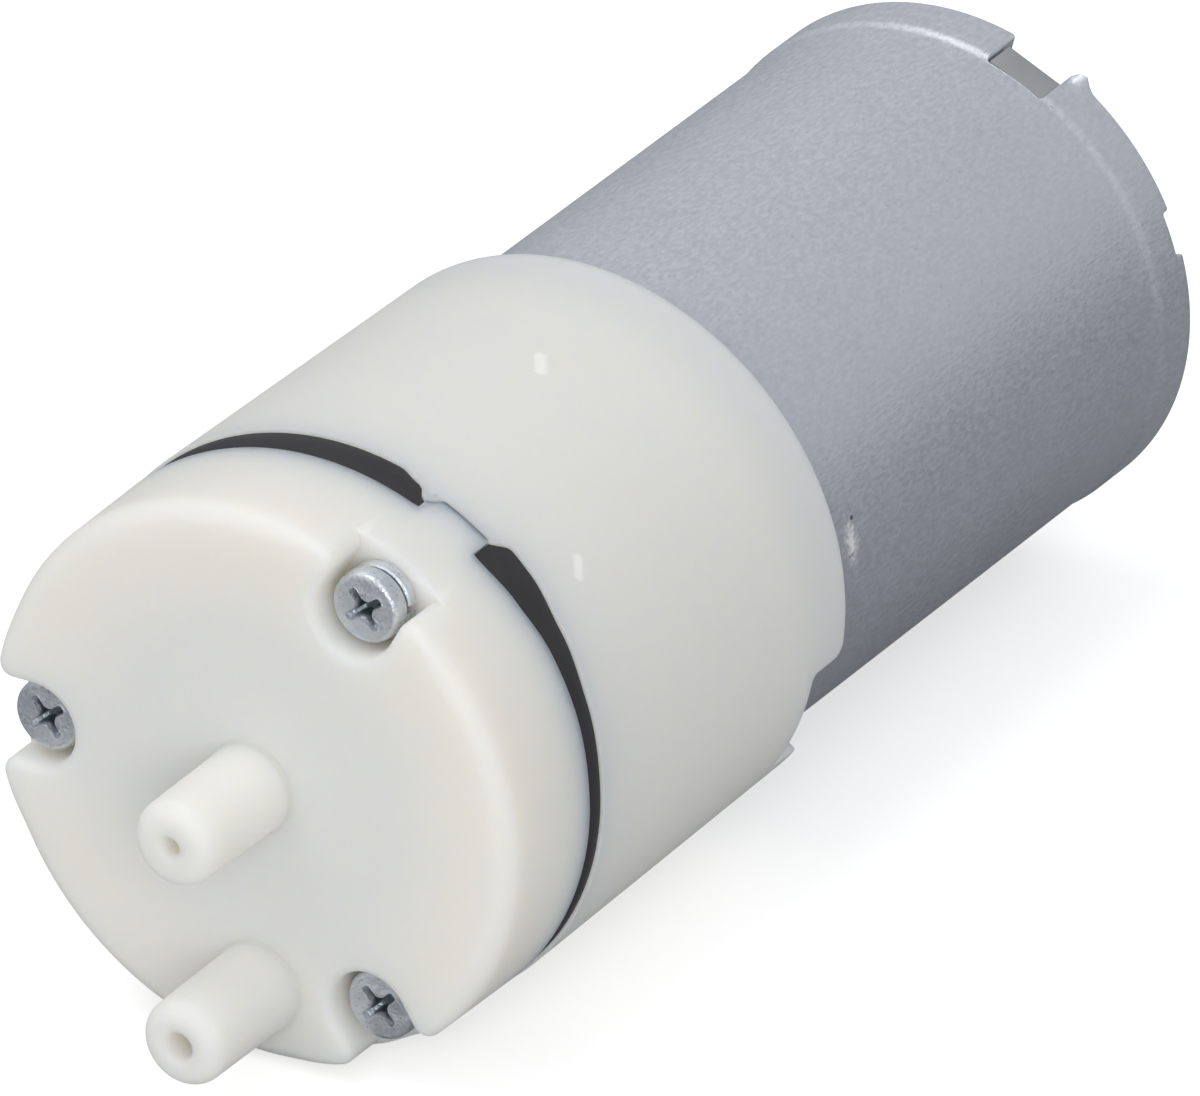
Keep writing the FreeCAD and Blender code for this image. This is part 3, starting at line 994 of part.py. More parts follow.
def wobble_drive():
    """Shaft, eccentric wheel, tilted pin and the three-armed plate that rides on it."""
    shaft = cylinder("motor_shaft", "sizes.shaft_radius", SHAFT_FRONT, SHAFT_REAR)
    shaft.Label = "motor_shaft"
    NODES.append(shaft)

    pin_reach = f"(({ECCENTRIC_FRONT} - {NUTATION}) / cos(sizes.tilt) + sizes.pin_seat)"
    pin = doc.addObject("Part::Cylinder", "wobble_pin")
    pin.Label = "wobble_pin"
    pin.setExpression("Radius", "sizes.pin_radius")
    pin.setExpression("Height", f"{pin_reach} - sizes.pin_start")
    along_pin(pin, "sizes.pin_start")
    NODES.append(pin)

    wheel = cylinder("wheel_blank", "sizes.eccentric_radius", ECCENTRIC_FRONT, ECCENTRIC_REAR)
    shaft_hole = cylinder("shaft_hole", "sizes.shaft_radius", SHAFT_FRONT, ECCENTRIC_REAR)
    pin_hole = doc.addObject("Part::Cylinder", "pin_hole")
    pin_hole.setExpression("Radius", "sizes.pin_radius")
    pin_hole.setExpression("Height", f"{pin_reach} - sizes.pin_start")
    along_pin(pin_hole, "sizes.pin_start")
    holes = doc.addObject("Part::MultiFuse", "wheel_holes")
    holes.Shapes = [shaft_hole, pin_hole]
    eccentric = doc.addObject("Part::Cut", "eccentric_wheel")
    eccentric.Label = "eccentric_wheel"
    eccentric.Base = wheel
    eccentric.Tool = holes
    NODES.append(eccentric)

    plate = turned_body("wobble_plate", [
        ("0", "0"),
        ("sizes.hub_radius + sizes.hub_foot", "0"),
        ("sizes.hub_radius + sizes.hub_foot", "sizes.arm_thickness"),
        ("sizes.hub_radius", "sizes.arm_thickness + sizes.hub_foot"),
        ("sizes.hub_radius", HUB_LENGTH),
        ("0", HUB_LENGTH),
    ])
    arm = cross_sketch(plate, "arm", "0")
    add_box(arm, "0", "-sizes.arm_width / 2", CUP_CIRCLE, "sizes.arm_width / 2")
    arm_pad = add_pad(plate, arm, "sizes.arm_thickness", "rear")
    end = cross_sketch(plate, "arm_end", "0")
    add_circle(end, "sizes.arm_end_radius", CUP_CIRCLE)
    end_pad = add_pad(plate, end, "sizes.arm_thickness", "rear")
    hole = cross_sketch(plate, "stem_hole", "0")
    add_circle(hole, "sizes.stem_radius + sizes.stem_hole_gap", CUP_CIRCLE)
    hole_cut = add_pocket(plate, hole, "sizes.arm_thickness")
    repeat(plate, [arm_pad, end_pad, hole_cut], CHAMBERS)
    bore = cross_sketch(plate, "pin_bore", HUB_LENGTH)
    add_circle(bore, "sizes.pin_radius + sizes.pin_running_gap")
    add_pocket(plate, bore, f"{HUB_LENGTH} - sizes.hub_floor", "front")
    plate.Placement = Placement(ORIGIN, Rotation(BACKWARD_TILT, number("sizes.tilt")))
    plate.setExpression("Placement.Base.y", NUTATION)
    plate.setExpression("Placement.Rotation.Angle", "sizes.tilt")


def build_all():
    for make in (head_cover, valve_plate, diaphragm, cylinder_plate, lower_housing, head_screws, lock_washers,
                 motor_screws, motor_can, end_cap, bearings, magnets, magnet_spring, armature,
                 brushes_and_terminals, wobble_drive, valves):
        make()


def write_parts():
    doc.recompute()
    for item in doc.Objects:
        if "Invalid" in item.State or "Error" in item.State:
            raise RuntimeError(f"{item.Label} failed to build: {item.State}")
    for node in NODES:
        if node.Shape.isNull() or not node.Shape.isValid():
            raise RuntimeError(f"{node.Label} has no valid shape")
    os.makedirs("parts", exist_ok=True)
    for node in NODES:
        node.Shape.exportStep(f"parts/{node.Label}.step")
        print(f"{node.Label}: {len(node.Shape.Solids)} solids, {node.Shape.Volume:.2f} mm3")


build_all()
write_parts()
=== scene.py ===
import json
from math import atan2, cos, degrees, exp, hypot, pi, radians, sin, sqrt

import bmesh
import bpy
from bpy.props import FloatProperty, FloatVectorProperty, PointerProperty
from mathutils import Matrix, Vector

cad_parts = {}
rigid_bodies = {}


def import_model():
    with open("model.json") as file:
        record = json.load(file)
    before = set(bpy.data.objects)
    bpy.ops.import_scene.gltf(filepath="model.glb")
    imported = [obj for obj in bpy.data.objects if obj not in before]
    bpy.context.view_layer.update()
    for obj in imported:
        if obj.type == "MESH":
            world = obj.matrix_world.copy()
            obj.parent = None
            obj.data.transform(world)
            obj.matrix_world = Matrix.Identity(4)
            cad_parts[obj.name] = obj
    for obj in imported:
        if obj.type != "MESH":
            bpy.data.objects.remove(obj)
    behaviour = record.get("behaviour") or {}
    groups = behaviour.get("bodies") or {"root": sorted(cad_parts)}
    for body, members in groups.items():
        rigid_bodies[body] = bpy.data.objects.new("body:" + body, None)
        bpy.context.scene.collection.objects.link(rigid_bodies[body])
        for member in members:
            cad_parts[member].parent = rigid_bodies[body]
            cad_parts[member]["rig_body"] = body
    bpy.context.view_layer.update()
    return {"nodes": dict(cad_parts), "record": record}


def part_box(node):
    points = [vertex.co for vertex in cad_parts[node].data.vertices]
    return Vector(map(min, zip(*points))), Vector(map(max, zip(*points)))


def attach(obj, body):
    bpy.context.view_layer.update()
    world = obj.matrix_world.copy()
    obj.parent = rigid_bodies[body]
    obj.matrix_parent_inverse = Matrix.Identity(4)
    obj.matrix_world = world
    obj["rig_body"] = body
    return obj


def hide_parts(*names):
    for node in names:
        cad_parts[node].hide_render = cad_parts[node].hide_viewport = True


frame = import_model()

bl_info = {
    "name": "Diaphragm vacuum pump",
    "version": (1, 0, 0),
    "blender": (4, 5, 0),
    "location": "View3D > Sidebar > Pump",
    "description": "Builds the looks of a three-chamber diaphragm vacuum pump round its frame",
    "category": "Object",
}

MM = 0.001
FULL_TURN = 2 * pi


def station(node, side):
    """Where a frame node begins (side 0) or ends (side 1) along the pump axis, in millimetres."""
    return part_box(node)[side].y / MM


RUBBER_FRONT = station("valve_plate", 1)
HOUSING_FRONT = station("lower_housing", 0)
HOUSING_REAR = station("lower_housing", 1)
CAN_REAR = station("motor_can", 1)
SCREW_FRONT = station("head_screws", 0)
NOZZLE_TIP = station("head_cover", 0)
WASHER_FRONT = station("lock_washers", 0)
RECESS_FLOOR = station("lock_washers", 1)
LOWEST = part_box("lower_housing")[0].z


# Sizes and colours

def length(name, value, description):
    """A size in millimetres."""
    return FloatProperty(name=name, default=value, description=description + " in mm", min=0.0, precision=3)


def turn(name, value, description):
    """An angle, given in degrees."""
    return FloatProperty(name=name, default=radians(value), description=description, unit="ROTATION")


def three_turns(name, value, description):
    """An angle in radians for each of the three screws."""
    return FloatVectorProperty(name=name, default=value, description=description, subtype="EULER")


def paint(name, value, description):
    """A colour."""
    return FloatVectorProperty(name=name, default=value, description=description, subtype="COLOR",
                               size=3, min=0.0, max=1.0)


class CanSizes(bpy.types.PropertyGroup):
    radius: length("Radius", 12.2, "Outside radius of the can")
    wall: length("Wall", 0.7, "Sheet thickness")
    hidden: length("Hidden length", 2.6, "Length inside the housing's skirt")
    swage_rise: length("Swage rise", 0.16, "How far the rear band stands out")
    swage_length: length("Swage length", 2.15, "Length of the rear band")
    swage_slope: length("Swage slope", 0.6, "Length of the slope in front of the rear band")
    rim_round: length("Rim rounding", 0.07, "Rounding of the rim's edges")
    key_angle: turn("Key angle", 66.35, "Middle of the deep notch")
    key_width: length("Key width", 3.12, "Width of the deep notch")
    key_depth: length("Key depth", 2.6, "Depth of the deep notch")
    crimp_angle: turn("Crimp angle", 19.0, "Middle of the shallow notch")
    crimp_width: length("Crimp width", 2.1, "Width of the shallow notch")
    crimp_depth: length("Crimp depth", 0.45, "Depth of the shallow notch")
    burr_angle: turn("Burr angle", 56.6, "Where the rim is bent up beside the deep notch")
    burr_reach: length("Burr reach", 0.55, "How far the bent rim stands out")
    burr_width: length("Burr width", 0.42, "Width of the bent rim")


class HousingSizes(bpy.types.PropertyGroup):
    front_radius: length("Front radius", 13.66, "Outside radius at the rubber")
    rear_radius: length("Rear radius", 13.38, "Outside radius at the motor")
    edge: length("Edge rounding", 0.12, "Rounding of the skirt's rim")
    front_edge: length("Front edge rounding", 0.04, "Rounding of the edge at the rubber")
    window: length("Window", 0.85, "How far the front edge is cut back beside the upper pad")
    notch_angle: turn("Notch angle", 335.5, "Middle of the notch in the skirt")
    notch_width: length("Notch width", 5.7, "Width of the notch")
    notch_depth: length("Notch depth", 2.35, "Depth of the notch")
    notch_corner: length("Notch corner", 0.7, "Rounding where the notch opens")


class CoverSizes(bpy.types.PropertyGroup):
    face_radius: length("Face radius", 13.5, "Outside radius at the face")
    rear_radius: length("Rear radius", 13.6, "Outside radius at the rubber")
    thickness: length("Thickness", 6.0, "From the face to the rubber")
    rim_round: length("Rim rounding", 0.9, "Rounding of the face's rim")
    recess_radius: length("Recess radius", 2.0, "Radius of a screw recess")
    recess_round: length("Recess rounding", 0.44, "Rounding of a recess's mouth")
    lip: length("Lip", 0.7, "Rounding where a recess opens at the rim")
    floor_round: length("Floor rounding", 0.45, "Rounding where a recess floor meets the rim")
    washer_bed: length("Washer bed", 0.3, "How deep a washer is bedded in a recess floor")
    pad_width: length("Pad width", 3.2, "Width of a pad that reaches through the rubber")
    edge_wave: length("Edge wave", 0.42, "How far the rear edge stands back beside the upper pad")
    nozzle_radius: length("Nozzle radius", 2.1, "Outside radius of a nozzle")
    nozzle_root: length("Nozzle root", 0.22, "Fillet at a nozzle's root")
    nozzle_tip: length("Nozzle tip", 0.85, "Rounding of a nozzle's tip")
    inlet_offset: length("Inlet offset", 9.9, "Distance of the inlet nozzle below the axis")
    inlet_bore: length("Inlet bore", 0.65, "Radius of the inlet nozzle's bore")
    outlet_bore: length("Outlet bore", 0.42, "Radius of the outlet nozzle's mouth")


class ScrewSizes(bpy.types.PropertyGroup):
    circle: length("Circle", 11.35, "Radius of the circle of screws")
    first: turn("First angle", 60.0, "Angle of the first screw")
    head_radius: length("Head radius", 1.71, "Radius of a pan head")
    head_height: length("Head height", 0.95, "Height of a pan head")
    head_edge: length("Head edge", 0.27, "Rounding of a pan head's edge")
    shank_radius: length("Shank radius", 0.85, "Radius of a shank")
    shank_length: length("Shank length", 10.4, "Length under the head")
    cross_width: length("Cross width", 0.40, "Width of a cross arm")
    cross_reach: length("Cross reach", 1.06, "From the centre to the end of a cross arm")
    cross_depth: length("Cross depth", 0.8, "Depth of the cross recess")
    burr: length("Burr", 0.04, "Height of the burr round the cross recess")
    spins: three_turns("Spins", (-0.46, 0.62, 0.22), "How far each screw is turned in")
    washer_radius: length("Washer radius", 1.68, "Outside radius of a spring washer")
    washer_bore: length("Washer bore", 1.0, "Inside radius of a spring washer")
    washer_gap: turn("Washer gap", 14.0, "Angle of a spring washer's split")
    washer_rise: length("Washer rise", 0.12, "How far the split ends stand apart")
    washer_spins: three_turns("Washer spins", (-1.13, 0.4, 1.2), "Where each spring washer is split")


class PumpColours(bpy.types.PropertyGroup):
    nylon: paint("Nylon", (0.86, 0.84, 0.79), "Natural moulded nylon")
    nylon_warm: paint("Nylon, thick", (0.82, 0.79, 0.73), "Nylon where it is thick or old")
    rubber: paint("Rubber", (0.028, 0.027, 0.031), "Black rubber")
    can: paint("Can steel", (0.72, 0.75, 0.815), "Plated can of the motor")
    can_dark: paint("Can steel, dull", (0.62, 0.645, 0.705), "Dull places of the can")
    zinc: paint("Zinc", (0.72, 0.77, 0.84), "Zinc plating of screws and washers")
    cap: paint("End cap", (0.36, 0.37, 0.385), "Grey plastic of the end cap")
    drive: paint("Drive plastic", (0.62, 0.63, 0.62), "Plastic of the wobble drive")
    brass: paint("Tinned brass", (0.58, 0.52, 0.40), "Terminals")
    bronze: paint("Bronze", (0.42, 0.29, 0.17), "Sintered bushes")
    copper: paint("Copper", (0.62, 0.26, 0.13), "Windings and commutator")
    iron: paint("Iron", (0.25, 0.25, 0.26), "Laminations")
    ferrite: paint("Ferrite", (0.045, 0.045, 0.05), "Magnets")
    shaft: paint("Shaft", (0.50, 0.50, 0.52), "Ground steel")
    floor: paint("Floor", (0.80, 0.80, 0.80), "Studio floor")


class StudioSizes(bpy.types.PropertyGroup):
    azimuth: turn("Azimuth", 33.583, "Camera's angle round the pump")
    elevation: turn("Elevation", 27.969, "Camera's angle above the floor")
    roll: turn("Roll", 1.906, "Camera's turn about its own axis")
    distance: FloatProperty(name="Distance", default=1.07715, unit="LENGTH", description="Camera to pump")
    target: FloatVectorProperty(name="Target", default=(-0.005022, -0.007196, -0.006058), size=3,
                                subtype="TRANSLATION", unit="LENGTH", description="Point in the picture's middle")
    lens: FloatProperty(name="Lens", default=720.0, unit="CAMERA", description="Focal length")
    key_power: FloatProperty(name="Key light", default=1.1, description="Power of the light overhead in W")
    fill_power: FloatProperty(name="Fill light", default=1.7, description="Power of the light beside the camera in W")
    sky: FloatProperty(name="Sky", default=0.50, description="Strength of the even light all round")


# Nodes for materials

def add_node(tree, kind, place, inputs=None, **settings):
    """A node with its settings, and with values for the inputs that are named or numbered."""
    node = tree.nodes.new(kind)
    node.location = place
    for name, value in settings.items():
        setattr(node, name, value)
    for socket, value in (inputs or {}).items():
        node.inputs[socket].default_value = value
    return node


def empty_tree(owner):
    """The node tree of a material or a world, with nothing in it."""
    owner.use_nodes = True
    owner.node_tree.nodes.clear()
    return owner.node_tree


def wire(tree, *links):
    """Join nodes; each link is (source, output, target, input)."""
    for source, output, target, socket in links:
        tree.links.new(source.outputs[output], target.inputs[socket])


def new_group(name, inputs, outputs):
    """An empty shader node group; inputs maps names to their defaults, and the outputs are masks."""
    group = bpy.data.node_groups.new(name, "ShaderNodeTree")
    for label, value in inputs.items():
        kind = "NodeSocketFloat" if isinstance(value, float) else "NodeSocketVector"
        group.interface.new_socket(label, in_out="INPUT", socket_type=kind).default_value = value
    for label in outputs:
        group.interface.new_socket(label, in_out="OUTPUT", socket_type="NodeSocketFloat")
    return group, add_node(group, "NodeGroupInput", (-900, 0)), add_node(group, "NodeGroupOutput", (700, 0))


def mottle_group():
    """Soft clouds and fine grain over a surface: two masks from 0 to 1."""
    group, start, end = new_group("Mottle", {"Place": (0, 0, 0), "Cloud Scale": 120.0, "Grain Scale": 3000.0,
                                             "Stretch": (1, 1, 1)}, ("Clouds", "Grain"))
    stretched = add_node(group, "ShaderNodeVectorMath", (-650, -150), operation="MULTIPLY")
    wire(group, (start, "Place", stretched, 0), (start, "Stretch", stretched, 1))
    for label, scale, source, detail, height in (("Clouds", "Cloud Scale", start, 3.0, 150),
                                                 ("Grain", "Grain Scale", stretched, 2.0, -150)):
        texture = add_node(group, "ShaderNodeTexNoise", (-400, height), {"Detail": detail})
        spread = add_node(group, "ShaderNodeMapRange", (100, height), {"From Min": 0.3, "From Max": 0.7})
        wire(group, (source, 0, texture, "Vector"), (start, scale, texture, "Scale"),
             (texture, "Fac", spread, "Value"), (spread, "Result", end, label))
    return group


def speck_group():
    """Scattered small specks, such as pits and dust: a mask from 0 to 1."""
    group, start, end = new_group("Specks", {"Place": (0, 0, 0), "Scale": 900.0, "Size": 0.12}, ("Mask",))
    cells = add_node(group, "ShaderNodeTexVoronoi", (-500, 0))
    near = add_node(group, "ShaderNodeMath", (-200, 0), operation="LESS_THAN")
    chosen = add_node(group, "ShaderNodeSeparateColor", (-200, -200))
    rare = add_node(group, "ShaderNodeMath", (100, -200), {1: 0.8}, operation="GREATER_THAN")
    both = add_node(group, "ShaderNodeMath", (350, 0), operation="MULTIPLY")
    wire(group, (start, "Place", cells, "Vector"), (start, "Scale", cells, "Scale"),
         (cells, "Distance", near, 0), (start, "Size", near, 1), (cells, "Color", chosen, "Color"),
         (chosen, "Red", rare, 0), (near, 0, both, 0), (rare, 0, both, 1), (both, 0, end, "Mask"))
    return group


def mark_group():
    """One mark at a known place, such as a dent, a scuff, a painted glint or painted shade: a soft mask from 0 to 1.
    """
    group, start, end = new_group("Mark", {"Place": (0, 0, 0), "Centre": (0, 0, 0), "Spread": (1, 1, 1),
                                           "Raggedness": 0.3}, ("Mask",))
    shift = add_node(group, "ShaderNodeVectorMath", (-650, 0), operation="SUBTRACT")
    scaled = add_node(group, "ShaderNodeVectorMath", (-450, 0), operation="DIVIDE")
    away = add_node(group, "ShaderNodeVectorMath", (-250, 0), operation="LENGTH")
    rough = add_node(group, "ShaderNodeTexNoise", (-450, -250), {"Scale": 4000.0})
    ragged = add_node(group, "ShaderNodeMath", (-150, -250), operation="MULTIPLY")
    total = add_node(group, "ShaderNodeMath", (50, 0), operation="ADD")
    mask = add_node(group, "ShaderNodeMapRange", (300, 0), {"From Min": 1.0, "From Max": 0.45},
                    interpolation_type="SMOOTHSTEP")
    wire(group, (start, "Place", shift, 0), (start, "Centre", shift, 1), (shift, "Vector", scaled, 0),
         (start, "Spread", scaled, 1), (scaled, "Vector", away, 0), (start, "Place", rough, "Vector"),
         (rough, "Fac", ragged, 0), (start, "Raggedness", ragged, 1), (away, "Value", total, 0),
         (ragged, 0, total, 1), (total, 0, mask, "Value"), (mask, "Result", end, "Mask"))
    return group


def get_group(name):
    makers = {"Mottle": mottle_group, "Specks": speck_group, "Mark": mark_group}
    return bpy.data.node_groups.get(name) or makers[name]()


class Finish:
    """A material under construction: its shader, its place on the surface and its colour so far."""

    def __init__(self, name, colour, roughness, metallic=0.0, more=None):
        self.material = bpy.data.materials.new(name + "_finish")
        self.material.use_nodes = True
        self.tree = self.material.node_tree
        self.shader = self.tree.nodes["Principled BSDF"]
        values = {"Base Color": (*colour, 1.0), "Roughness": roughness, "Metallic": metallic, **(more or {})}
        for label, value in values.items():
            self.shader.inputs[label].default_value = value
        self.place = add_node(self.tree, "ShaderNodeTexCoord", (-1400, 0))
        self.colour = None
        self.level = 0

    def group(self, name, **values):
        """A shared effect placed in this material, fed with the place on the surface."""
        self.level -= 260
        node = add_node(self.tree, "ShaderNodeGroup", (-1100, self.level), node_tree=get_group(name))
        wire(self.tree, (self.place, "Object", node, "Place"))
        for label, value in values.items():
            node.inputs[label.replace("_", " ")].default_value = value
        return node

    def tint(self, source, output, colour, strength=1.0):
        """Mix another colour in where a mask is high."""
        mix = add_node(self.tree, "ShaderNodeMix", (-700, self.level), {7: (*colour, 1.0)}, data_type="RGBA")
        if self.colour:
            self.tree.links.new(self.colour, mix.inputs[6])
        else:
            mix.inputs[6].default_value = self.shader.inputs["Base Color"].default_value[:]
        faded = add_node(self.tree, "ShaderNodeMath", (-880, self.level), {1: strength}, operation="MULTIPLY")
        wire(self.tree, (source, output, faded, 0), (faded, 0, mix, 0), (mix, 2, self.shader, "Base Color"))
        self.colour = mix.outputs[2]

    def vary(self, source, output, socket, low, high):
        """Let a value of the shader follow a mask from low to high."""
        spread = add_node(self.tree, "ShaderNodeMapRange", (-500, self.level), {"To Min": low, "To Max": high})
        wire(self.tree, (source, output, spread, "Value"), (spread, "Result", self.shader, socket))

    def relief(self, source, output, depth, strength):
        """Raise or lower the surface by a mask; depth is in metres."""
        bump = add_node(self.tree, "ShaderNodeBump", (-300, self.level), {"Strength": strength, "Distance": depth})
        normal = self.shader.inputs["Normal"]
        if normal.is_linked:
            self.tree.links.new(normal.links[0].from_socket, bump.inputs["Normal"])
        wire(self.tree, (source, output, bump, "Height"), (bump, "Normal", self.shader, "Normal"))

    def mottle(self, scales, clouds, rough, relief, grain=None, **more):
        """Clouds and grain: scales of both, (colour, strength) of each, the mask and range of the
        roughness, and (depth, strength) of the grain's relief."""
        node = self.group("Mottle", Cloud_Scale=scales[0], Grain_Scale=scales[1], **more)
        self.tint(node, "Clouds", *clouds)
        if grain:
            self.tint(node, "Grain", *grain)
        self.vary(node, rough[0], "Roughness", *rough[1:])
        self.relief(node, "Grain", *relief)

    def mark(self, place, spread, raggedness, colour=None, strength=1.0):
        """A mark at a place given as (radius, angle in degrees, station), and its colour if it has one."""
        node = self.group("Mark", Centre=on_cylinder(*place), Spread=spread, Raggedness=raggedness)
        if colour:
            self.tint(node, "Mask", colour, strength)
        return node


def polar(radius, angle, y):
    return radius * cos(angle), y, radius * sin(angle)


def on_cylinder(radius, angle, y):
    """A point on a cylinder about the pump axis, in metres; the angle is in degrees."""
    return Vector(polar(radius, radians(angle), y)) * MM


def nylon_finish(colours):
    finish = Finish("natural_nylon", colours.nylon, 0.46, more={
        "Subsurface Weight": 1.0, "Subsurface Radius": (1.0, 0.85, 0.65), "Subsurface Scale": 0.0034,
        "Specular IOR Level": 0.22, "Emission Strength": 0.11})
    finish.mottle((70.0, 1600.0), (colours.nylon_warm, 0.35), ("Clouds", 0.46, 0.58), (0.000006, 0.5))
    # Painted highlights: two glints of the lamps on the housing, painted by letting the nylon glow at these spots
    # through its emission colour.
    glow = None
    for angle, y, turned, back in ((75.7, -24.0, 1.3, 0.45), (39.7, -32.3, 1.2, 0.28)):
        for step in (-1, -0.5, 0, 0.5, 1):
            painted_glint = finish.mark((13.5, angle + turned * step, y + back * step), (0.00045,) * 3, 0.2)
            if glow:
                most = add_node(finish.tree, "ShaderNodeMath", (-700, finish.level), operation="MAXIMUM")
                wire(finish.tree, (glow, 0, most, 0), (painted_glint, "Mask", most, 1))
            glow = most if glow else painted_glint
    finish.mark((13.6, 40.5, -35.9), (0.00022,) * 3, 0.3, (0.50, 0.26, 0.12), 0.8)
    # The painted glints glow through the emission colour.
    wire(finish.tree, (glow, 0, finish.shader, "Emission Color"))
    return finish.material


def rubber_finish(colours):
    finish = Finish("black_rubber", colours.rubber, 0.55, more={"Specular IOR Level": 0.35})
    finish.mottle((300.0, 5000.0), ((0.05, 0.05, 0.055), 0.5), ("Clouds", 0.5, 0.7), (0.000008, 0.6))
    return finish.material


def can_finish(colours):
    metallic = 0.9
    finish = Finish("can_steel", colours.can, 0.45, metallic)
    finish.mottle((160.0, 5200.0), (colours.can_dark, 0.35), ("Grain", 0.40, 0.54), (0.000012, 0.8),
                  ((0.84, 0.87, 0.93), 0.5), Stretch=(1.0, 0.45, 1.0))
    pits = finish.group("Specks", Scale=1500.0, Size=0.13)
    finish.tint(pits, "Mask", (0.40, 0.42, 0.46), 0.25)
    scuff = finish.mark((12.2, 6.6, -12.9), (0.0020, 0.0014, 0.0026), 0.95, (0.98, 0.98, 0.99))
    finish.vary(scuff, "Mask", "Metallic", metallic, 0.35)
    finish.relief(scuff, "Mask", 0.00004, 0.8)
    # A small dark mark where the can is punched in: painted shade of the dent, with no relief.
    finish.mark((12.2, 11.5, -12.6), (0.0004, 0.00018, 0.00018), 0.3, (0.10, 0.10, 0.11), 0.9)
    return finish.material


def zinc_finish(colours):
    """Dull zinc with pits, and painted shade in the three cross recesses."""
    finish = Finish("zinc_screw", colours.zinc, 0.34, 0.88)
    finish.mottle((1500.0, 6000.0), ((0.50, 0.54, 0.59), 0.6), ("Grain", 0.34, 0.60), (0.000025, 0.8),
                  ((0.85, 0.87, 0.88), 0.35))
    pits = finish.group("Specks", Scale=6000.0, Size=0.3)
    finish.tint(pits, "Mask", (0.30, 0.28, 0.26), 0.45)
    sizes = bpy.context.scene.pump_screws
    # Painted shade: a dark teal mark in each cross recess, where shade falls.
    for k in range(3):
        finish.mark((sizes.circle, degrees(sizes.first) + 120 * k, SCREW_FRONT + 0.55),
                    (0.0016, 0.00062, 0.0016), 0.3, (0.10, 0.135, 0.15), 0.95)
    return finish.material


def plain_finish(name, colour, roughness, metallic, darker):
    """A finish with soft clouds of a darker tone and a fine grain."""
    finish = Finish(name, colour, roughness, metallic)
    finish.mottle((400.0, 3500.0), (tuple(c * darker for c in colour), 0.6),
                  ("Grain", roughness - 0.06, roughness + 0.08), (0.00001, 0.5))
    return finish.material


def get_material(slot):
    """The material of a slot of the record, made when it is first asked for."""
    known = bpy.data.materials.get(slot + "_finish")
    if known:
        return known
    colours = bpy.context.scene.pump_colours
    special = {"natural_nylon": nylon_finish, "black_rubber": rubber_finish, "can_steel": can_finish,
               "zinc_screw": zinc_finish}
    if slot in special:
        return special[slot](colours)
    plain = {
        "grey_cap": (colours.cap, 0.5, 0.0, 0.8),
        "sintered_bronze": (colours.bronze, 0.5, 0.9, 0.7),
        "ferrite": (colours.ferrite, 0.6, 0.0, 0.6),
        "spring_steel": (colours.shaft, 0.35, 1.0, 0.8),
        "lamination_steel": (colours.iron, 0.4, 0.9, 0.8),
        "enamelled_copper": (colours.copper, 0.3, 0.8, 0.7),
        "bare_copper": (colours.copper, 0.25, 1.0, 0.85),
        "carbon": (colours.ferrite, 0.7, 0.0, 0.8),
        "tinned_brass": (colours.brass, 0.3, 1.0, 0.85),
        "shaft_steel": (colours.shaft, 0.2, 1.0, 0.9),
        "drive_plastic": (colours.drive, 0.45, 0.0, 0.92),
    }
    return plain_finish(slot, *plain[slot])


# Tools for meshes; points are in millimetres

def ring(shape, points):
    """New corners of a shape."""
    return [shape.verts.new([c * MM for c in p]) for p in points]


def circle(radius, y, below=0.0, segments=64):
    """Points on a circle round the pump axis, or round a line below it."""
    return [(radius * cos(FULL_TURN * k / segments), y, radius * sin(FULL_TURN * k / segments) - below)
            for k in range(segments)]


def bridge(shape, rings):
    """Faces from each ring to the next."""
    for a, b in zip(rings, rings[1:]):
        for i in range(len(a)):
            j = (i + 1) % len(a)
            shape.faces.new((a[i], a[j], b[j], b[i]))


def sweep(shape, sections):
    """A bar from its sections, closed at both ends."""
    rings = [ring(shape, points) for points in sections]
    bridge(shape, rings)
    shape.faces.new(rings[0])
    shape.faces.new(list(reversed(rings[-1])))


def fill_face(shape, loops):
    """Fill the flat face between loops of corners."""
    border = [shape.edges.get((loop[i - 1], loop[i])) for loop in loops for i in range(len(loop))]
    bmesh.ops.triangle_fill(shape, use_beauty=True, use_dissolve=False, edges=border, normal=(0, -1, 0))


def merge(shape, reach):
    """Merge the corners that lie nearer than reach."""
    bmesh.ops.remove_doubles(shape, verts=shape.verts, dist=reach * MM)


def face_outwards(shape):
    bmesh.ops.recalc_face_normals(shape, faces=shape.faces)


def to_mesh(shape, name):
    mesh = bpy.data.meshes.new(name)
    shape.to_mesh(mesh)
    shape.free()
    return mesh


def clean_mesh(shape, name):
    """A mesh without doubles and slivers, its faces outwards."""
    smallest = 0.0004
    merge(shape, smallest)
    bmesh.ops.dissolve_degenerate(shape, edges=shape.edges, dist=smallest * MM)
    face_outwards(shape)
    return to_mesh(shape, name)


def frame_shape(node):
    """A copy of a frame node's mesh, with its doubles merged."""
    shape = bmesh.new()
    shape.from_mesh(frame["nodes"][node].data)
    merge(shape, 0.001)
    return shape


def add_object(name, data):
    """A new object in the scene."""
    thing = bpy.data.objects.new(name, data)
    bpy.context.scene.collection.objects.link(thing)
    return thing


def finish_piece(name, mesh, node, slot, sharp=35.0):
    """Shade a finished mesh, and let it stand for its frame node on that node's body."""
    if len(mesh.polygons) == 0:
        raise RuntimeError(f"{name} has no faces")
    mesh.shade_smooth()
    mesh.set_sharp_from_angle(angle=radians(sharp))
    mesh.materials.clear()
    mesh.materials.append(get_material(slot))
    piece = add_object(name, mesh)
    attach(piece, frame["nodes"][node]["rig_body"])
    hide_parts(node)


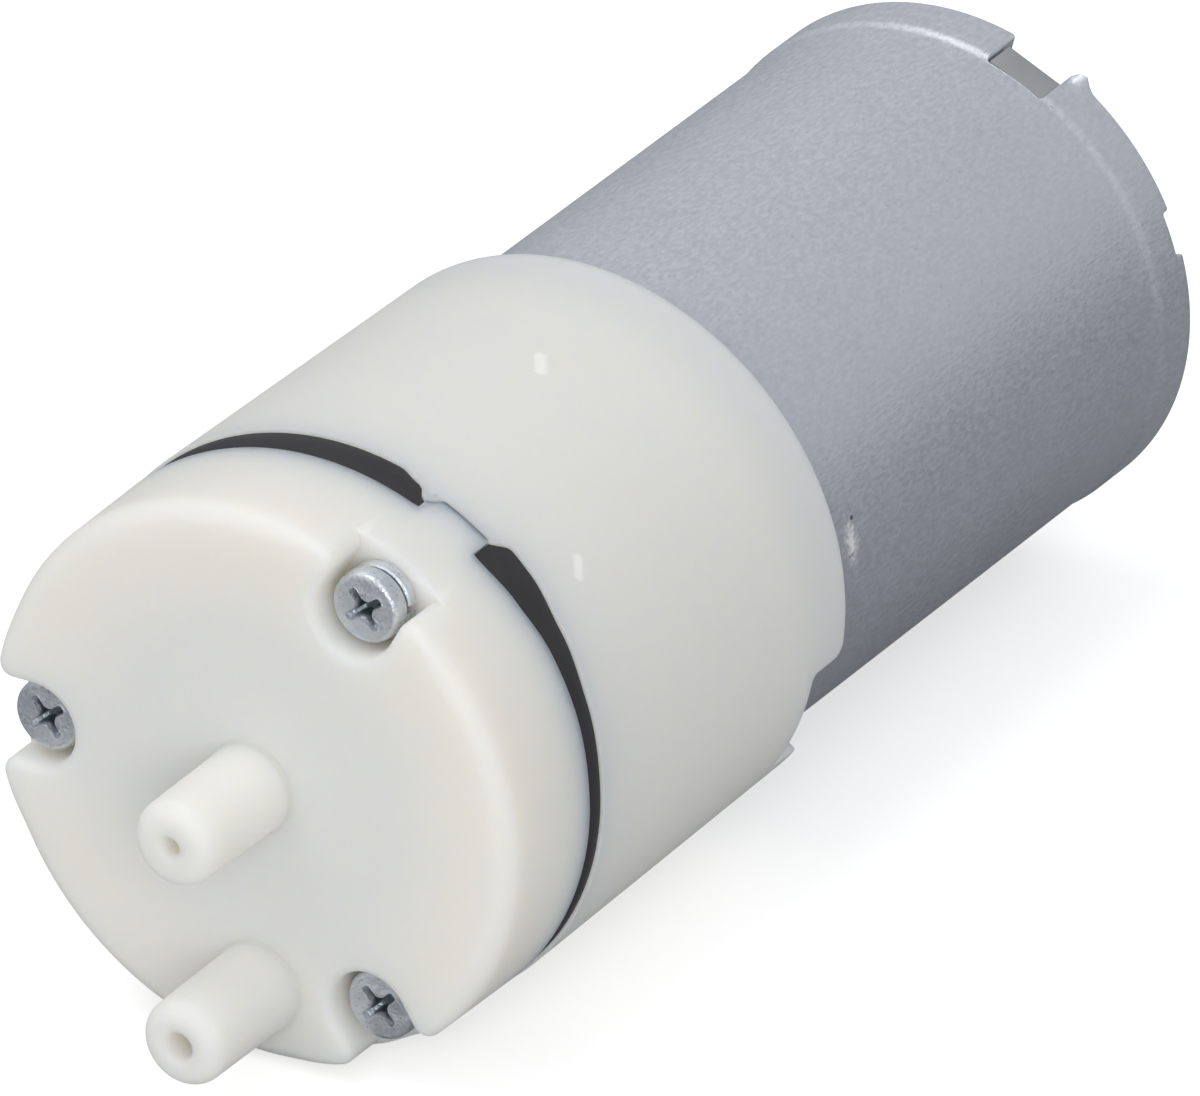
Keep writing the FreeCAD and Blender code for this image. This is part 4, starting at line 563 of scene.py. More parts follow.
def smooth_copy(name, node, slot, bevel, sharp=35.0):
    """A copy of a frame node with its edges broken and its round faces smooth."""
    shape = frame_shape(node)
    bmesh.ops.dissolve_limit(shape, angle_limit=radians(0.5), verts=shape.verts, edges=shape.edges)
    edges = [e for e in shape.edges if len(e.link_faces) == 2 and e.calc_face_angle(0) > radians(sharp)]
    bmesh.ops.bevel(shape, geom=edges, offset=bevel * MM, segments=2, profile=0.5, affect="EDGES",
                    clamp_overlap=True)
    finish_piece(name, to_mesh(shape, name), node, slot, sharp)


def ease(share):
    """A share held between 0 and 1 that starts and ends softly."""
    share = min(1.0, max(0.0, share))
    return share * share * (3 - 2 * share)


def rounding(radius, angles):
    """A quarter rounding: how far is left to its end, and how far it has dropped, at angles in degrees."""
    for a in angles:
        yield radius * (1 - sin(radians(a))), radius * (1 - cos(radians(a)))


def corner_arc(centre, radius, start, end, steps):
    """Points on a small arc between two angles in degrees."""
    for k in range(steps + 1):
        a = radians(start + (end - start) * k / steps)
        yield centre[0] + radius * cos(a), centre[1] + radius * sin(a)


# Shells with a notched rim: the motor can and the housing

def rim_path(radius, rear, notches, spacing=0.3):
    """The rim laid flat: pairs of arc length and station, once round, dipping into each notch.
    A notch is (middle angle, width, depth, outer rounding, inner rounding)."""
    around = FULL_TURN * radius
    dips = sorted((angle % FULL_TURN * radius, width / 2, depth, outer, inner)
                  for angle, width, depth, outer, inner in notches)
    path, at = [], 0.0
    for middle, half, depth, outer, inner in dips:
        left, right = middle - half, middle + half
        steps = max(1, round((left - outer - at) / spacing))
        path += [(at + (left - outer - at) * k / steps, rear) for k in range(steps)]
        floor = rear - depth
        path += corner_arc((left - outer, rear - outer), outer, 90, 0, 6)
        path += corner_arc((left + inner, floor + inner), inner, 180, 270, 4)
        across = max(1, round((right - left - 2 * inner) / spacing))
        path += [(left + inner + (right - left - 2 * inner) * k / across, floor) for k in range(1, across)]
        path += corner_arc((right - inner, floor + inner), inner, 270, 360, 4)
        path += corner_arc((right + outer, rear - outer), outer, 180, 90, 6)
        at = right + outer
    steps = max(1, round((around - at) / spacing))
    path += [(at + (around - at) * k / steps, rear) for k in range(1, steps)]
    return path


def inward(path, i, around):
    """The unit normal of a rim path that points into the material."""
    before, after = path[i - 1], path[(i + 1) % len(path)]
    ds = (after[0] - before[0]) % around
    if ds > around / 2:
        ds -= around
    dy = after[1] - before[1]
    size = hypot(ds, dy) or 1.0
    return dy / size, -ds / size


def cut_shell(name, radius, rows, outer, inner_radius, inner_floor, profile, notches, edge, bend=None):
    """A drawn or moulded shell whose rear rim follows its notches.
    rows are the stations of the outer surface, outer gives its radius at a station, and profile
    is the rest of its section, from the inner floor back to the front of the outer surface."""
    path = rim_path(radius, rows[-1], notches)
    normals = [inward(path, i, FULL_TURN * radius) for i in range(len(path))]
    inset = [(s + n[0] * edge, y + n[1] * edge) for (s, y), n in zip(path, normals)]

    def place(r, s, y):
        a = s / radius
        return polar(bend(r, a, y) if bend else r, a, y)

    rings = [[place(outer(min(y, e[1])), e[0], min(y, e[1])) for e in inset] for y in rows]
    rounded = [(None, -drop, out) for out, drop in rounding(edge, (22.5, 45, 67.5, 90))]
    rounded += [(inner_radius, rise, out) for rise, out in rounding(edge, (0, 45, 90))]
    for base, change, out in rounded:
        rings.append([place((base or outer(y)) + change, s + n[0] * out, y + n[1] * out)
                      for (s, y), n in zip(path, normals)])
    rings.append([place(inner_radius, e[0], inner_floor) for e in inset])
    rings += [[polar(r, e[0] / radius, y) for e in inset] for r, y in profile]
    shape = bmesh.new()
    loops = [ring(shape, points) for points in rings]
    bridge(shape, loops + loops[:1])
    return clean_mesh(shape, name)


def build_can(sizes):
    front = HOUSING_REAR - sizes.hidden
    swage = CAN_REAR - sizes.swage_length
    slope = sizes.swage_slope
    corner, boss_bore, boss_radius, boss_length, bent_length = 0.8, 2.4, 3.0, 2.0, 1.0

    def outer(y):
        return sizes.radius + sizes.swage_rise * ease((y - (swage - slope)) / slope)

    def bend(r, a, y):
        """Bend the rim up beside the deep notch."""
        off = ((a - sizes.burr_angle) % FULL_TURN + pi) % FULL_TURN - pi
        off *= sizes.radius / sizes.burr_width
        lift = max(0.0, (y - (CAN_REAR - bent_length)) / bent_length)
        return r + sizes.burr_reach * exp(-off * off) * lift * lift

    rows = [front + corner + (HOUSING_REAR - front - corner) * k / 4 for k in range(5)]
    straight = swage - slope - HOUSING_REAR
    rows += [HOUSING_REAR + straight * k / 24 for k in range(1, 25)]
    rows += [swage - slope + slope * k / 10 for k in range(1, 11)]
    rows += [swage + 0.5, swage + 1.0, swage + 1.4, swage + 1.7, CAN_REAR]
    floor = front + sizes.wall
    profile = [(boss_bore, floor), (boss_bore, front - boss_length), (boss_radius, front - boss_length),
               (boss_radius, front), (sizes.radius - corner, front)]
    profile += [(sizes.radius - left, front + drop) for left, drop in rounding(corner, range(15, 90, 15))]
    notches = []
    for half_turn in (0.0, pi):
        notches.append((sizes.key_angle + half_turn, sizes.key_width, sizes.key_depth, 0.3, 0.2))
        notches.append((sizes.crimp_angle + half_turn, sizes.crimp_width, sizes.crimp_depth, 0.15, 0.15))
    mesh = cut_shell("motor_can_drawn", sizes.radius, rows, outer, sizes.radius - sizes.wall, floor, profile,
                     notches, sizes.rim_round, bend)
    finish_piece("motor_can_drawn", mesh, "motor_can", "can_steel", 50.0)


def smooth_curve(stops, angle):
    """A value that eases from stop to stop; stops are pairs of angle in degrees and value."""
    at = (degrees(angle) + 90) % 360 - 90
    for (a, low), (b, high) in zip(stops, stops[1:]):
        if a < at <= b:
            return low + (high - low) * ease((at - a) / (b - a))
    return 0.0


def window_depth(angle):
    """How far the housing's front edge is cut back at an angle, as a share of the window."""
    return smooth_curve(((-48, 0.0), (0, 0.06), (18, 0.25), (32, 0.55), (44, 0.95), (49.5, 1.0), (53.6, 0.0),
                         (64.5, 0.0), (66.3, -0.9), (67.2, -0.75), (70.5, 0.2), (76, 0.66), (120, 0.6),
                         (165, 0.35), (172.6, 0.0)), angle)


def edge_depth(angle):
    """How far the cover's rear edge stands back at an angle, as a share of the edge wave."""
    return smooth_curve(((-50, 0.0), (0, 0.7), (18, 1.0), (30, 0.95), (42, 0.4), (51, 0.0)), angle)


def shift_edge(mesh, edge, reach, amount, smallest=0.0):
    """Move the points near an edge station along the axis, fading out over the reach (which has a sign)."""
    for v in mesh.vertices:
        fade = 1 - (v.co.y / MM - edge) / reach
        if 0.0 < fade <= 1.001 and hypot(v.co.x, v.co.z) > smallest * MM:
            v.co.y += amount(atan2(v.co.z, v.co.x)) * fade * MM


def build_housing(sizes, can):
    edge, front_edge = sizes.edge, sizes.front_edge
    skirt_gap, rear_wall, motor_hole, inside = 0.03, 2.2, 3.05, 11.3
    seat_radius, seat_depth, window_fade = 12.1, 2.5, 2.4

    def outer(y):
        share = (y - HOUSING_FRONT) / (HOUSING_REAR - HOUSING_FRONT)
        near = max(0.0, 1 - (y - HOUSING_FRONT) / front_edge)
        taper = sizes.front_radius + (sizes.rear_radius - sizes.front_radius) * share
        return taper - front_edge * (1 - sqrt(max(0.0, 1 - near * near)))

    rows = [HOUSING_FRONT + drop for _, drop in rounding(front_edge, range(0, 91, 15))]
    straight = HOUSING_REAR - 2.6 - HOUSING_FRONT - front_edge
    rows += [HOUSING_FRONT + front_edge + straight * k / 30 for k in range(1, 31)]
    rows += [HOUSING_REAR - 2.0, HOUSING_REAR - 1.2, HOUSING_REAR - 0.5, HOUSING_REAR]
    can_front = HOUSING_REAR - can.hidden
    wall_front = can_front - rear_wall
    seat_rear = HOUSING_FRONT + seat_depth
    profile = [(motor_hole, can_front), (motor_hole, wall_front), (inside, wall_front), (inside, seat_rear),
               (seat_radius, seat_rear), (seat_radius, HOUSING_FRONT)]
    notch = (sizes.notch_angle, sizes.notch_width, sizes.notch_depth, sizes.notch_corner, 0.35)
    mesh = cut_shell("housing_moulded", sizes.rear_radius, rows, outer, can.radius + skirt_gap, can_front,
                     profile, [notch], edge)
    shift_edge(mesh, HOUSING_FRONT, window_fade, lambda a: sizes.window * window_depth(a))
    finish_piece("housing_moulded", mesh, "lower_housing", "natural_nylon", 40.0)


# Head cover

def cover_outline(sizes, screws):
    """The cover's outline seen from the front: points with their inward normals and edge rounding.
    Each point is (x, z, normal x, normal z, rounding, in a recess)."""
    radius, slot, lip = sizes.face_radius, sizes.recess_radius, sizes.lip
    lip_v = slot + lip
    lip_u = sqrt((radius - lip) ** 2 - lip_v ** 2)
    touch = atan2(lip_v, lip_u)
    lip_round = min(lip * 0.7, sizes.rim_round)
    outline = []

    def place(middle, u, v, nu, nv, rounded, inside):
        c, s = cos(middle), sin(middle)
        outline.append((u * c - v * s, u * s + v * c, nu * c - nv * s, nu * s + nv * c, rounded, inside))

    def place_lip(middle, side, share):
        """A point where the rim (share 0) turns into a recess (share 1) on one of its sides."""
        spin = side * (touch - (pi / 2 + touch) * share)
        place(middle, lip_u + lip * cos(spin), side * lip_v + lip * sin(spin), -cos(spin), -sin(spin),
              lip_round + (sizes.recess_round - lip_round) * share, share > 0)

    def place_wall(middle, side, k):
        place(middle, lip_u + (screws.circle - lip_u) * k / 4, side * slot, 0, side, sizes.recess_round, True)

    for i in range(3):
        middle = screws.first + FULL_TURN * i / 3
        for k in range(9):
            place_lip(middle, -1, k / 8)
        for k in (1, 2, 3):
            place_wall(middle, -1, k)
        for k in range(25):
            spin = -pi / 2 - pi * k / 24
            place(middle, screws.circle + slot * cos(spin), slot * sin(spin), cos(spin), sin(spin),
                  sizes.recess_round, True)
        for k in (3, 2, 1):
            place_wall(middle, 1, k)
        for k in range(9):
            place_lip(middle, 1, 1 - k / 8)
        between, steps, fade = FULL_TURN / 3 - 2 * touch, 72, 10
        for k in range(1, steps):
            rounded = lip_round + (sizes.rim_round - lip_round) * ease(min(k, steps - k) / fade)
            place(middle + touch + between * k / steps, radius, 0, -1, 0, rounded, False)
    return outline


def close_rear(shape, outside, inside, pads, angles, bed_radius):
    """Close the cover's rear between its rim and its bed, with the pads standing out to the housing."""
    count = len(outside)
    top = bpy.context.scene.pump_housing.front_radius - 0.005
    tops = {i: ring(shape, [polar(r, angles[i], HOUSING_FRONT) for r in (top, bed_radius)]) for i in pads}
    for i in range(count):
        j = (i + 1) % count
        if i in tops and j in tops:
            (a, b), (c, d) = tops[i], tops[j]
            for face in ((outside[i], outside[j], c, a), (a, c, d, b), (b, d, inside[j], inside[i])):
                shape.faces.new(face)
        else:
            shape.faces.new((outside[i], outside[j], inside[j], inside[i]))
        if i in tops and (i - 1) % count not in tops:
            shape.faces.new((outside[i], *tops[i], inside[i]))
        if i in tops and j not in tops:
            shape.faces.new((outside[i], inside[i], *reversed(tops[i])))


def add_nozzle(shape, sizes, face, below, bore):
    """A nozzle with its bore; returns the loop of corners at its root."""
    radius, tip, mouth = sizes.nozzle_radius, NOZZLE_TIP, 0.3
    end = radius - 0.04
    profile = [(radius + sizes.nozzle_root + 0.06, face)]
    profile += [(radius + left, face - drop) for left, drop in rounding(sizes.nozzle_root, range(0, 91, 15))]
    profile += [(end, tip + sizes.nozzle_tip)]
    profile += [(end - drop, tip + left) for left, drop in rounding(sizes.nozzle_tip, range(10, 91, 10))]
    profile += [(bore + mouth + 0.1, tip), (bore + mouth, tip)]
    profile += [(bore + left, tip + drop) for left, drop in rounding(mouth, (30, 60, 90))]
    profile += [(bore * 0.96, tip + 3.0), (bore * 0.9, face + 1.2)]
    loops = [ring(shape, circle(r, y, below)) for r, y in profile]
    bridge(shape, loops)
    shape.faces.new(loops[-1])
    return loops[0]


def build_cover(sizes, screws):
    face = RUBBER_FRONT - sizes.thickness
    floor_level = RECESS_FLOOR - sizes.washer_bed
    bed_radius, channel_radius, channel_front = 11.0, 8.2, face + 1.7
    wave_fade, wave_inside = 2.0, 11.5
    outline = cover_outline(sizes, screws)
    count = len(outline)
    shape = bmesh.new()

    def drafted(x, z, y):
        """A rim point moved outwards as the cover widens towards the rubber."""
        r = hypot(x, z)
        grow = (sizes.rear_radius - sizes.face_radius) * (y - face) / sizes.thickness * r / sizes.face_radius
        return x + x / r * grow, y, z + z / r * grow

    def outline_ring(left, drop, inset=0.0, deep=0.0):
        """The outline, moved in and down by shares of its rounding and by fixed amounts."""
        points = []
        for x, z, nx, nz, rounded, inside in outline:
            off, y = rounded * left + inset, face + rounded * drop + deep
            px, pz = x + nx * off, z + nz * off
            points.append((px, y, pz) if inside else drafted(px, pz, y))
        return ring(shape, points)

    rings = [outline_ring(1, 0, inset=0.06)]
    rings += [outline_ring(left, drop) for left, drop in rounding(1, [90 * k / 8 for k in range(9)])]
    rings += [outline_ring(0, 1 - share, deep=(floor_level - face) * share) for share in (0.5, 1.0)]
    bridge(shape, rings)
    wall = rings[-1]

    # Below the recess floors the rim is a full circle, with its own points across each recess.
    rim, pads, current = [], [], 0
    while current < count:
        if not outline[current][5]:
            rim.append(wall[current])
            current += 1
            continue
        start = current
        while current < count and outline[current][5]:
            current += 1
        before, after = outline[start - 1], outline[current % count]
        first = atan2(before[1], before[0])
        across = (atan2(after[1], after[0]) - first) % FULL_TURN
        x, _, z = drafted(before[0], before[1], floor_level)
        r = hypot(x, z)
        span = sizes.pad_width / 2 / sizes.rear_radius
        beside = across / 2 - span
        turns = [beside * k / 4 for k in range(1, 5)] + [beside + span * k / 4 for k in range(1, 8)]
        turns += [across - beside * k / 4 for k in range(4, 0, -1)]
        arcs = []
        for left, drop in rounding(1, range(0, 91, 18)):
            points = []
            for turned in turns:
                q = sizes.floor_round * max(0.0, min(1.0, 5 * min(turned, across - turned) / across - 0.75))
                points.append(polar(r - q * left, first + turned, floor_level + q * drop))
            arcs.append([wall[start - 1], *ring(shape, points), wall[current % count]])
        shape.faces.new([wall[start - 1]] + wall[start:current] + list(reversed(arcs[0][1:])))
        for low, high in zip(arcs, arcs[1:]):
            for i in range(len(low) - 1):
                shape.faces.new(list(dict.fromkeys((low[i], low[i + 1], high[i + 1], high[i]))))
        pads += range(len(rim) + 3, len(rim) + 12)
        rim += arcs[-1][1:-1]

    angles = [atan2(v.co.z, v.co.x) for v in rim]
    rear = [rim]
    for share in (0.5, 0.97, 1.0):
        y = floor_level + (RUBBER_FRONT - floor_level) * share
        radius = sizes.face_radius + (sizes.rear_radius - sizes.face_radius) * (y - face) / sizes.thickness
        rear.append(ring(shape, [polar(radius - (0.04 if share == 1.0 and i not in pads else 0.0), a, y)
                                 for i, a in enumerate(angles)]))
    bridge(shape, rear)
    bed_front = station("valve_plate", 0)
    bed = [ring(shape, [polar(r, a, y) for a in angles]) for r, y in (
        (bed_radius, RUBBER_FRONT), (bed_radius, bed_front), (channel_radius, bed_front),
        (channel_radius, channel_front))]
    bridge(shape, bed)
    shape.faces.new(bed[-1])
    close_rear(shape, rear[-1], bed[0], pads, angles, bed_radius)

    # The nozzles rise from holes in the face.
    holes = [add_nozzle(shape, sizes, face, below, bore)
             for below, bore in ((0.0, sizes.outlet_bore), (sizes.inlet_offset, sizes.inlet_bore))]
    fill_face(shape, [rings[0]] + holes)
    merge(shape, 0.0002)
    face_outwards(shape)
    bmesh.ops.triangulate(shape, faces=[f for f in shape.faces if len(f.verts) > 4])
    mesh = to_mesh(shape, "cover_moulded")
    shift_edge(mesh, RUBBER_FRONT, -wave_fade, lambda a: sizes.edge_wave * edge_depth(a), wave_inside)
    finish_piece("cover_moulded", mesh, "head_cover", "natural_nylon", 40.0)


# Diaphragm

def build_rubber(scene):
    """The diaphragm, with the rim that shows between the cover and the housing."""
    half_pad = scene.pump_cover.pad_width / 2 / scene.pump_cover.rear_radius
    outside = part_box("diaphragm")[1].x / MM + 0.01
    inside, soft, crown, gap, steps = 12.2, 0.08, 0.02, 0.002, 120
    start, arc = half_pad + 0.004, FULL_TURN / 3 - 2 * half_pad - 0.008
    shape = frame_shape("diaphragm")
    for k in range(3):
        sections = []
        for i in range(steps + 1):
            a = scene.pump_screws.first + FULL_TURN * k / 3 + start + arc * i / steps
            front = RUBBER_FRONT + scene.pump_cover.edge_wave * edge_depth(a) + gap
            rear = HOUSING_FRONT + scene.pump_housing.window * window_depth(a) - gap
            section = [(inside, front), (outside - soft, front), (outside - crown, front + soft / 3),
                       (outside, front + soft), (outside + crown, (front + rear) / 2), (outside, rear - soft),
                       (outside - crown, rear - soft / 3), (outside - soft, rear), (inside, rear)]
            sections.append([polar(r, a, y) for r, y in section])
        sweep(shape, sections)
    face_outwards(shape)
    finish_piece("diaphragm_rubber", to_mesh(shape, "diaphragm_rubber"), "diaphragm", "black_rubber", 40.0)


# Screws and washers, repeated round the axis by geometry nodes

def repeat_tree():
    """Geometry nodes that set copies of a mesh round the pump axis, each turned on its own axis."""
    tree = bpy.data.node_groups.new("Round the axis", "GeometryNodeTree")
    for label, kind in (("Geometry", "Geometry"), ("Count", "Int"), ("Circle", "Float"), ("First", "Float"),
                        ("Spins", "Vector"), ("Material", "Material")):
        tree.interface.new_socket(label, in_out="INPUT", socket_type="NodeSocket" + kind)
    tree.interface.new_socket("Geometry", in_out="OUTPUT", socket_type="NodeSocketGeometry")
    start = add_node(tree, "NodeGroupInput", (-1200, 0))
    end = add_node(tree, "NodeGroupOutput", (900, 0))
    points = add_node(tree, "GeometryNodePoints", (-300, 200))
    index = add_node(tree, "GeometryNodeInputIndex", (-1200, -300))
    share = add_node(tree, "ShaderNodeMath", (-1000, -300), operation="DIVIDE")
    angle = add_node(tree, "ShaderNodeMath", (-800, -300), {1: FULL_TURN}, operation="MULTIPLY_ADD")
    place = add_node(tree, "ShaderNodeCombineXYZ", (-400, -100))
    wire(tree, (start, "Count", points, "Count"), (index, "Index", share, 0), (start, "Count", share, 1),
         (share, 0, angle, 0), (start, "First", angle, 2), (place, "Vector", points, "Position"))
    for operation, socket, height in (("COSINE", "X", -150), ("SINE", "Z", -350)):
        wave = add_node(tree, "ShaderNodeMath", (-620, height), operation=operation)
        scaled = add_node(tree, "ShaderNodeMath", (-500, height), operation="MULTIPLY")
        wire(tree, (angle, 0, wave, 0), (wave, 0, scaled, 0), (start, "Circle", scaled, 1),
             (scaled, 0, place, socket))

    # Each copy turns with its place on the circle, and by its own spin.
    parts = add_node(tree, "ShaderNodeSeparateXYZ", (-1000, -600))
    spin = add_node(tree, "GeometryNodeIndexSwitch", (-700, -600), data_type="FLOAT")
    spin.index_switch_items.new()
    total = add_node(tree, "ShaderNodeMath", (-450, -600), operation="ADD")
    back = add_node(tree, "ShaderNodeMath", (-250, -600), {1: -1.0}, operation="MULTIPLY")
    turned = add_node(tree, "ShaderNodeCombineXYZ", (-50, -500))
    copies = add_node(tree, "GeometryNodeInstanceOnPoints", (150, 100))
    real = add_node(tree, "GeometryNodeRealizeInstances", (400, 100))
    finish = add_node(tree, "GeometryNodeSetMaterial", (650, 100))
    wire(tree, (start, "Spins", parts, "Vector"), (index, "Index", spin, "Index"), (parts, "X", spin, 1),
         (parts, "Y", spin, 2), (parts, "Z", spin, 3), (angle, 0, total, 0), (spin, 0, total, 1),
         (total, 0, back, 0), (back, 0, turned, "Y"), (points, 0, copies, "Points"),
         (start, "Geometry", copies, "Instance"), (turned, "Vector", copies, "Rotation"),
         (copies, "Instances", real, "Geometry"), (real, "Geometry", finish, "Geometry"),
         (start, "Material", finish, "Material"), (finish, "Geometry", end, "Geometry"))
    return tree


def repeat_round(name, mesh, node, slot, sizes, spins, sharp=35.0):
    """Set three copies of a mesh round the axis and make the result one plain piece."""
    mesh.shade_smooth()
    mesh.set_sharp_from_angle(angle=radians(sharp))
    source = add_object(name + "_source", mesh)
    modifier = source.modifiers.new("Round the axis", "NODES")
    modifier.node_group = bpy.data.node_groups.get("Round the axis") or repeat_tree()
    values = {"Count": 3, "Circle": sizes.circle * MM, "First": sizes.first, "Spins": tuple(spins),
              "Material": get_material(slot)}
    for item in modifier.node_group.interface.items_tree:
        if item.item_type == "SOCKET" and item.in_out == "INPUT" and item.name in values:
            modifier[item.identifier] = values[item.name]
    bpy.context.view_layer.update()
    made = bpy.data.meshes.new_from_object(source.evaluated_get(bpy.context.evaluated_depsgraph_get()))
    source.modifiers.remove(modifier)
    bpy.data.objects.remove(source)
    made.name = name
    finish_piece(name, made, node, slot, sharp)


def cross_ring(sizes, grow, reach, wide, y):
    """The outline of the cross recess at one depth; grow widens it all round."""
    half = sizes.cross_width / 2 * wide + grow
    arm, core = sizes.cross_reach * reach + grow, half * 1.5
    points = []
    for k in range(4):
        c, s = cos(pi / 2 * k), sin(pi / 2 * k)
        for u, v in ((core, -core), (core * 1.5, -half), (arm * 0.9, -half), (arm, -half * 0.55),
                     (arm, half * 0.55), (arm * 0.9, half), (core * 1.5, half)):
            points.append((u * c - v * s, y, u * s + v * c))
    return points


def screw_mesh(sizes):
    """One pan-head screw with a cross recess, standing on the Y axis with its head at the front."""
    head, edge, shank, front = sizes.head_radius, sizes.head_edge, sizes.shank_radius, SCREW_FRONT
    rear = front + sizes.head_height
    tip = rear + sizes.shank_length
    profile = [(head - edge - 0.05, front), (head - edge, front + 0.004)]
    profile += [(head - 0.03 - left, front + 0.004 + drop) for left, drop in rounding(edge, range(20, 90, 17))]
    profile += [(head, rear - 0.2), (head - 0.02, rear - 0.1), (head - 0.1, rear - 0.02), (head - 0.16, rear)]
    profile += [(shank, rear), (shank, tip - 0.5), (shank - 0.5, tip)]
    shape = bmesh.new()
    outside = [ring(shape, circle(r, y)) for r, y in profile]
    cross = [ring(shape, cross_ring(sizes, grow, reach, wide, front + down)) for grow, reach, wide, down in (
        (0.10, 1.0, 1.0, 0.0), (0.04, 1.0, 1.0, -sizes.burr), (0.015, 1.0, 1.0, -sizes.burr * 0.7),
        (0.0, 1.0, 1.0, 0.03), (0.0, 0.86, 0.85, sizes.cross_depth * 0.5), (0.0, 0.46, 0.6, sizes.cross_depth))]
    for rings in (outside, cross):
        bridge(shape, rings)
        shape.faces.new(rings[-1])
    fill_face(shape, (outside[0], cross[0]))
    face_outwards(shape)
    return to_mesh(shape, "screw")


def washer_mesh(sizes):
    """One split spring washer whose ends stand a little apart."""
    soft, thicker, clearance, steps = 0.08, 0.25, 0.002, 72
    thick = RECESS_FLOOR - WASHER_FRONT + thicker
    inner, outer, gap, rise = sizes.washer_bore, sizes.washer_radius, sizes.washer_gap, sizes.washer_rise
    section = [(inner + soft, 0), (outer - soft, 0), (outer, soft), (outer, thick - soft),
               (outer - soft, thick), (inner + soft, thick), (inner, thick - soft), (inner, soft)]
    sections = []
    for k in range(steps + 1):
        a = gap / 2 + (FULL_TURN - gap) * k / steps
        level = RECESS_FLOOR - rise / 2 - clearance - thick + rise * (0.5 - k / steps)
        sections.append([polar(r, a, level + y) for r, y in section])
    shape = bmesh.new()
    sweep(shape, sections)
    return clean_mesh(shape, "washer")


# Studio

def floor_material(colour):
    """Pale floor: white where nothing shades it, dimmer in bounced and mirrored light, clear from below."""
    material = bpy.data.materials.new("studio_floor")
    tree = empty_tree(material)
    end = add_node(tree, "ShaderNodeOutputMaterial", (800, 0))
    matt = add_node(tree, "ShaderNodeBsdfDiffuse", (0, 0), {"Color": (*colour, 1.0)})
    dim = add_node(tree, "ShaderNodeBsdfDiffuse", (0, 150))
    bounced_grey, mirrored_grey, glow_strength = (0.61, 0.61, 0.61, 1.0), (0.27, 0.27, 0.28, 1.0), 0.56
    mirrored = add_node(tree, "ShaderNodeMix", (-200, 150), {6: bounced_grey, 7: mirrored_grey},
                        data_type="RGBA")
    glow = add_node(tree, "ShaderNodeEmission", (0, -200), {"Strength": glow_strength})
    both = add_node(tree, "ShaderNodeAddShader", (200, -100))
    ray = add_node(tree, "ShaderNodeLightPath", (-400, 300))
    seen = add_node(tree, "ShaderNodeMath", (0, 300), operation="MAXIMUM")
    bright = add_node(tree, "ShaderNodeMixShader", (400, 0))
    facing = add_node(tree, "ShaderNodeNewGeometry", (200, 300))
    clear = add_node(tree, "ShaderNodeBsdfTransparent", (400, -200))
    side = add_node(tree, "ShaderNodeMixShader", (600, 0))
    wire(tree, (ray, "Is Glossy Ray", mirrored, 0), (mirrored, 2, dim, "Color"), (matt, 0, both, 0),
         (glow, 0, both, 1), (ray, "Is Camera Ray", seen, 0), (ray, "Is Transmission Ray", seen, 1),
         (seen, 0, bright, 0), (dim, 0, bright, 1), (both, 0, bright, 2), (facing, "Backfacing", side, 0),
         (bright, 0, side, 1), (clear, 0, side, 2), (side, 0, end, "Surface"))
    return material


def studio_sky(strength):
    """Soft even light, and a white backdrop for the camera."""
    world = bpy.data.worlds.new("studio_sky")
    tree = empty_tree(world)
    end = add_node(tree, "ShaderNodeOutputWorld", (400, 0))
    soft = add_node(tree, "ShaderNodeBackground", (0, 0), {"Color": (0.96, 0.98, 1.0, 1.0), "Strength": strength})
    white = add_node(tree, "ShaderNodeBackground", (0, -200))
    ray = add_node(tree, "ShaderNodeLightPath", (-200, 200))
    mix = add_node(tree, "ShaderNodeMixShader", (200, 0))
    wire(tree, (ray, "Is Camera Ray", mix, 0), (soft, 0, mix, 1), (white, 0, mix, 2), (mix, 0, end, "Surface"))
    return world


def area_light(name, place, size, power):
    """A round lamp that shines at the pump."""
    lamp = bpy.data.lights.new(name, "AREA")
    lamp.shape = "DISK"
    lamp.size = size
    lamp.energy = power
    holder = add_object(name, lamp)
    holder.location = place
    holder.rotation_euler = (-Vector(place)).to_track_quat("-Z", "Y").to_euler()


def photo_camera(sizes):
    """The camera, at the photo's angle."""
    lens = bpy.data.cameras.new("photo_camera")
    lens.lens = sizes.lens
    lens.sensor_width = 36.0
    lens.clip_start, lens.clip_end = 0.01, 20.0
    camera = add_object("photo_camera", lens)
    flat = cos(sizes.elevation)
    back = Vector((sin(sizes.azimuth) * flat, -cos(sizes.azimuth) * flat, sin(sizes.elevation)))
    camera.location = Vector(sizes.target) + back * sizes.distance
    level_turn = (-back).to_track_quat("-Z", "Y").to_matrix()
    camera.rotation_euler = (level_turn @ Matrix.Rotation(-sizes.roll, 3, "Z")).to_euler()
    return camera


# Operators

class PUMP_OT_motor_can(bpy.types.Operator):
    """Draw the motor's steel can with its swaged band, notches and bent corner"""
    bl_idname = "pump.motor_can"
    bl_label = "Motor can"

    def execute(self, context):
        build_can(context.scene.pump_can)
        return {"FINISHED"}


class PUMP_OT_housing(bpy.types.Operator):
    """Mould the lower housing with its skirt over the can"""
    bl_idname = "pump.housing"
    bl_label = "Lower housing"

    def execute(self, context):
        build_housing(context.scene.pump_housing, context.scene.pump_can)
        return {"FINISHED"}


class PUMP_OT_cover(bpy.types.Operator):
    """Mould the head cover with its nozzles, recesses and pads"""
    bl_idname = "pump.cover"
    bl_label = "Head cover"

    def execute(self, context):
        build_cover(context.scene.pump_cover, context.scene.pump_screws)
        return {"FINISHED"}


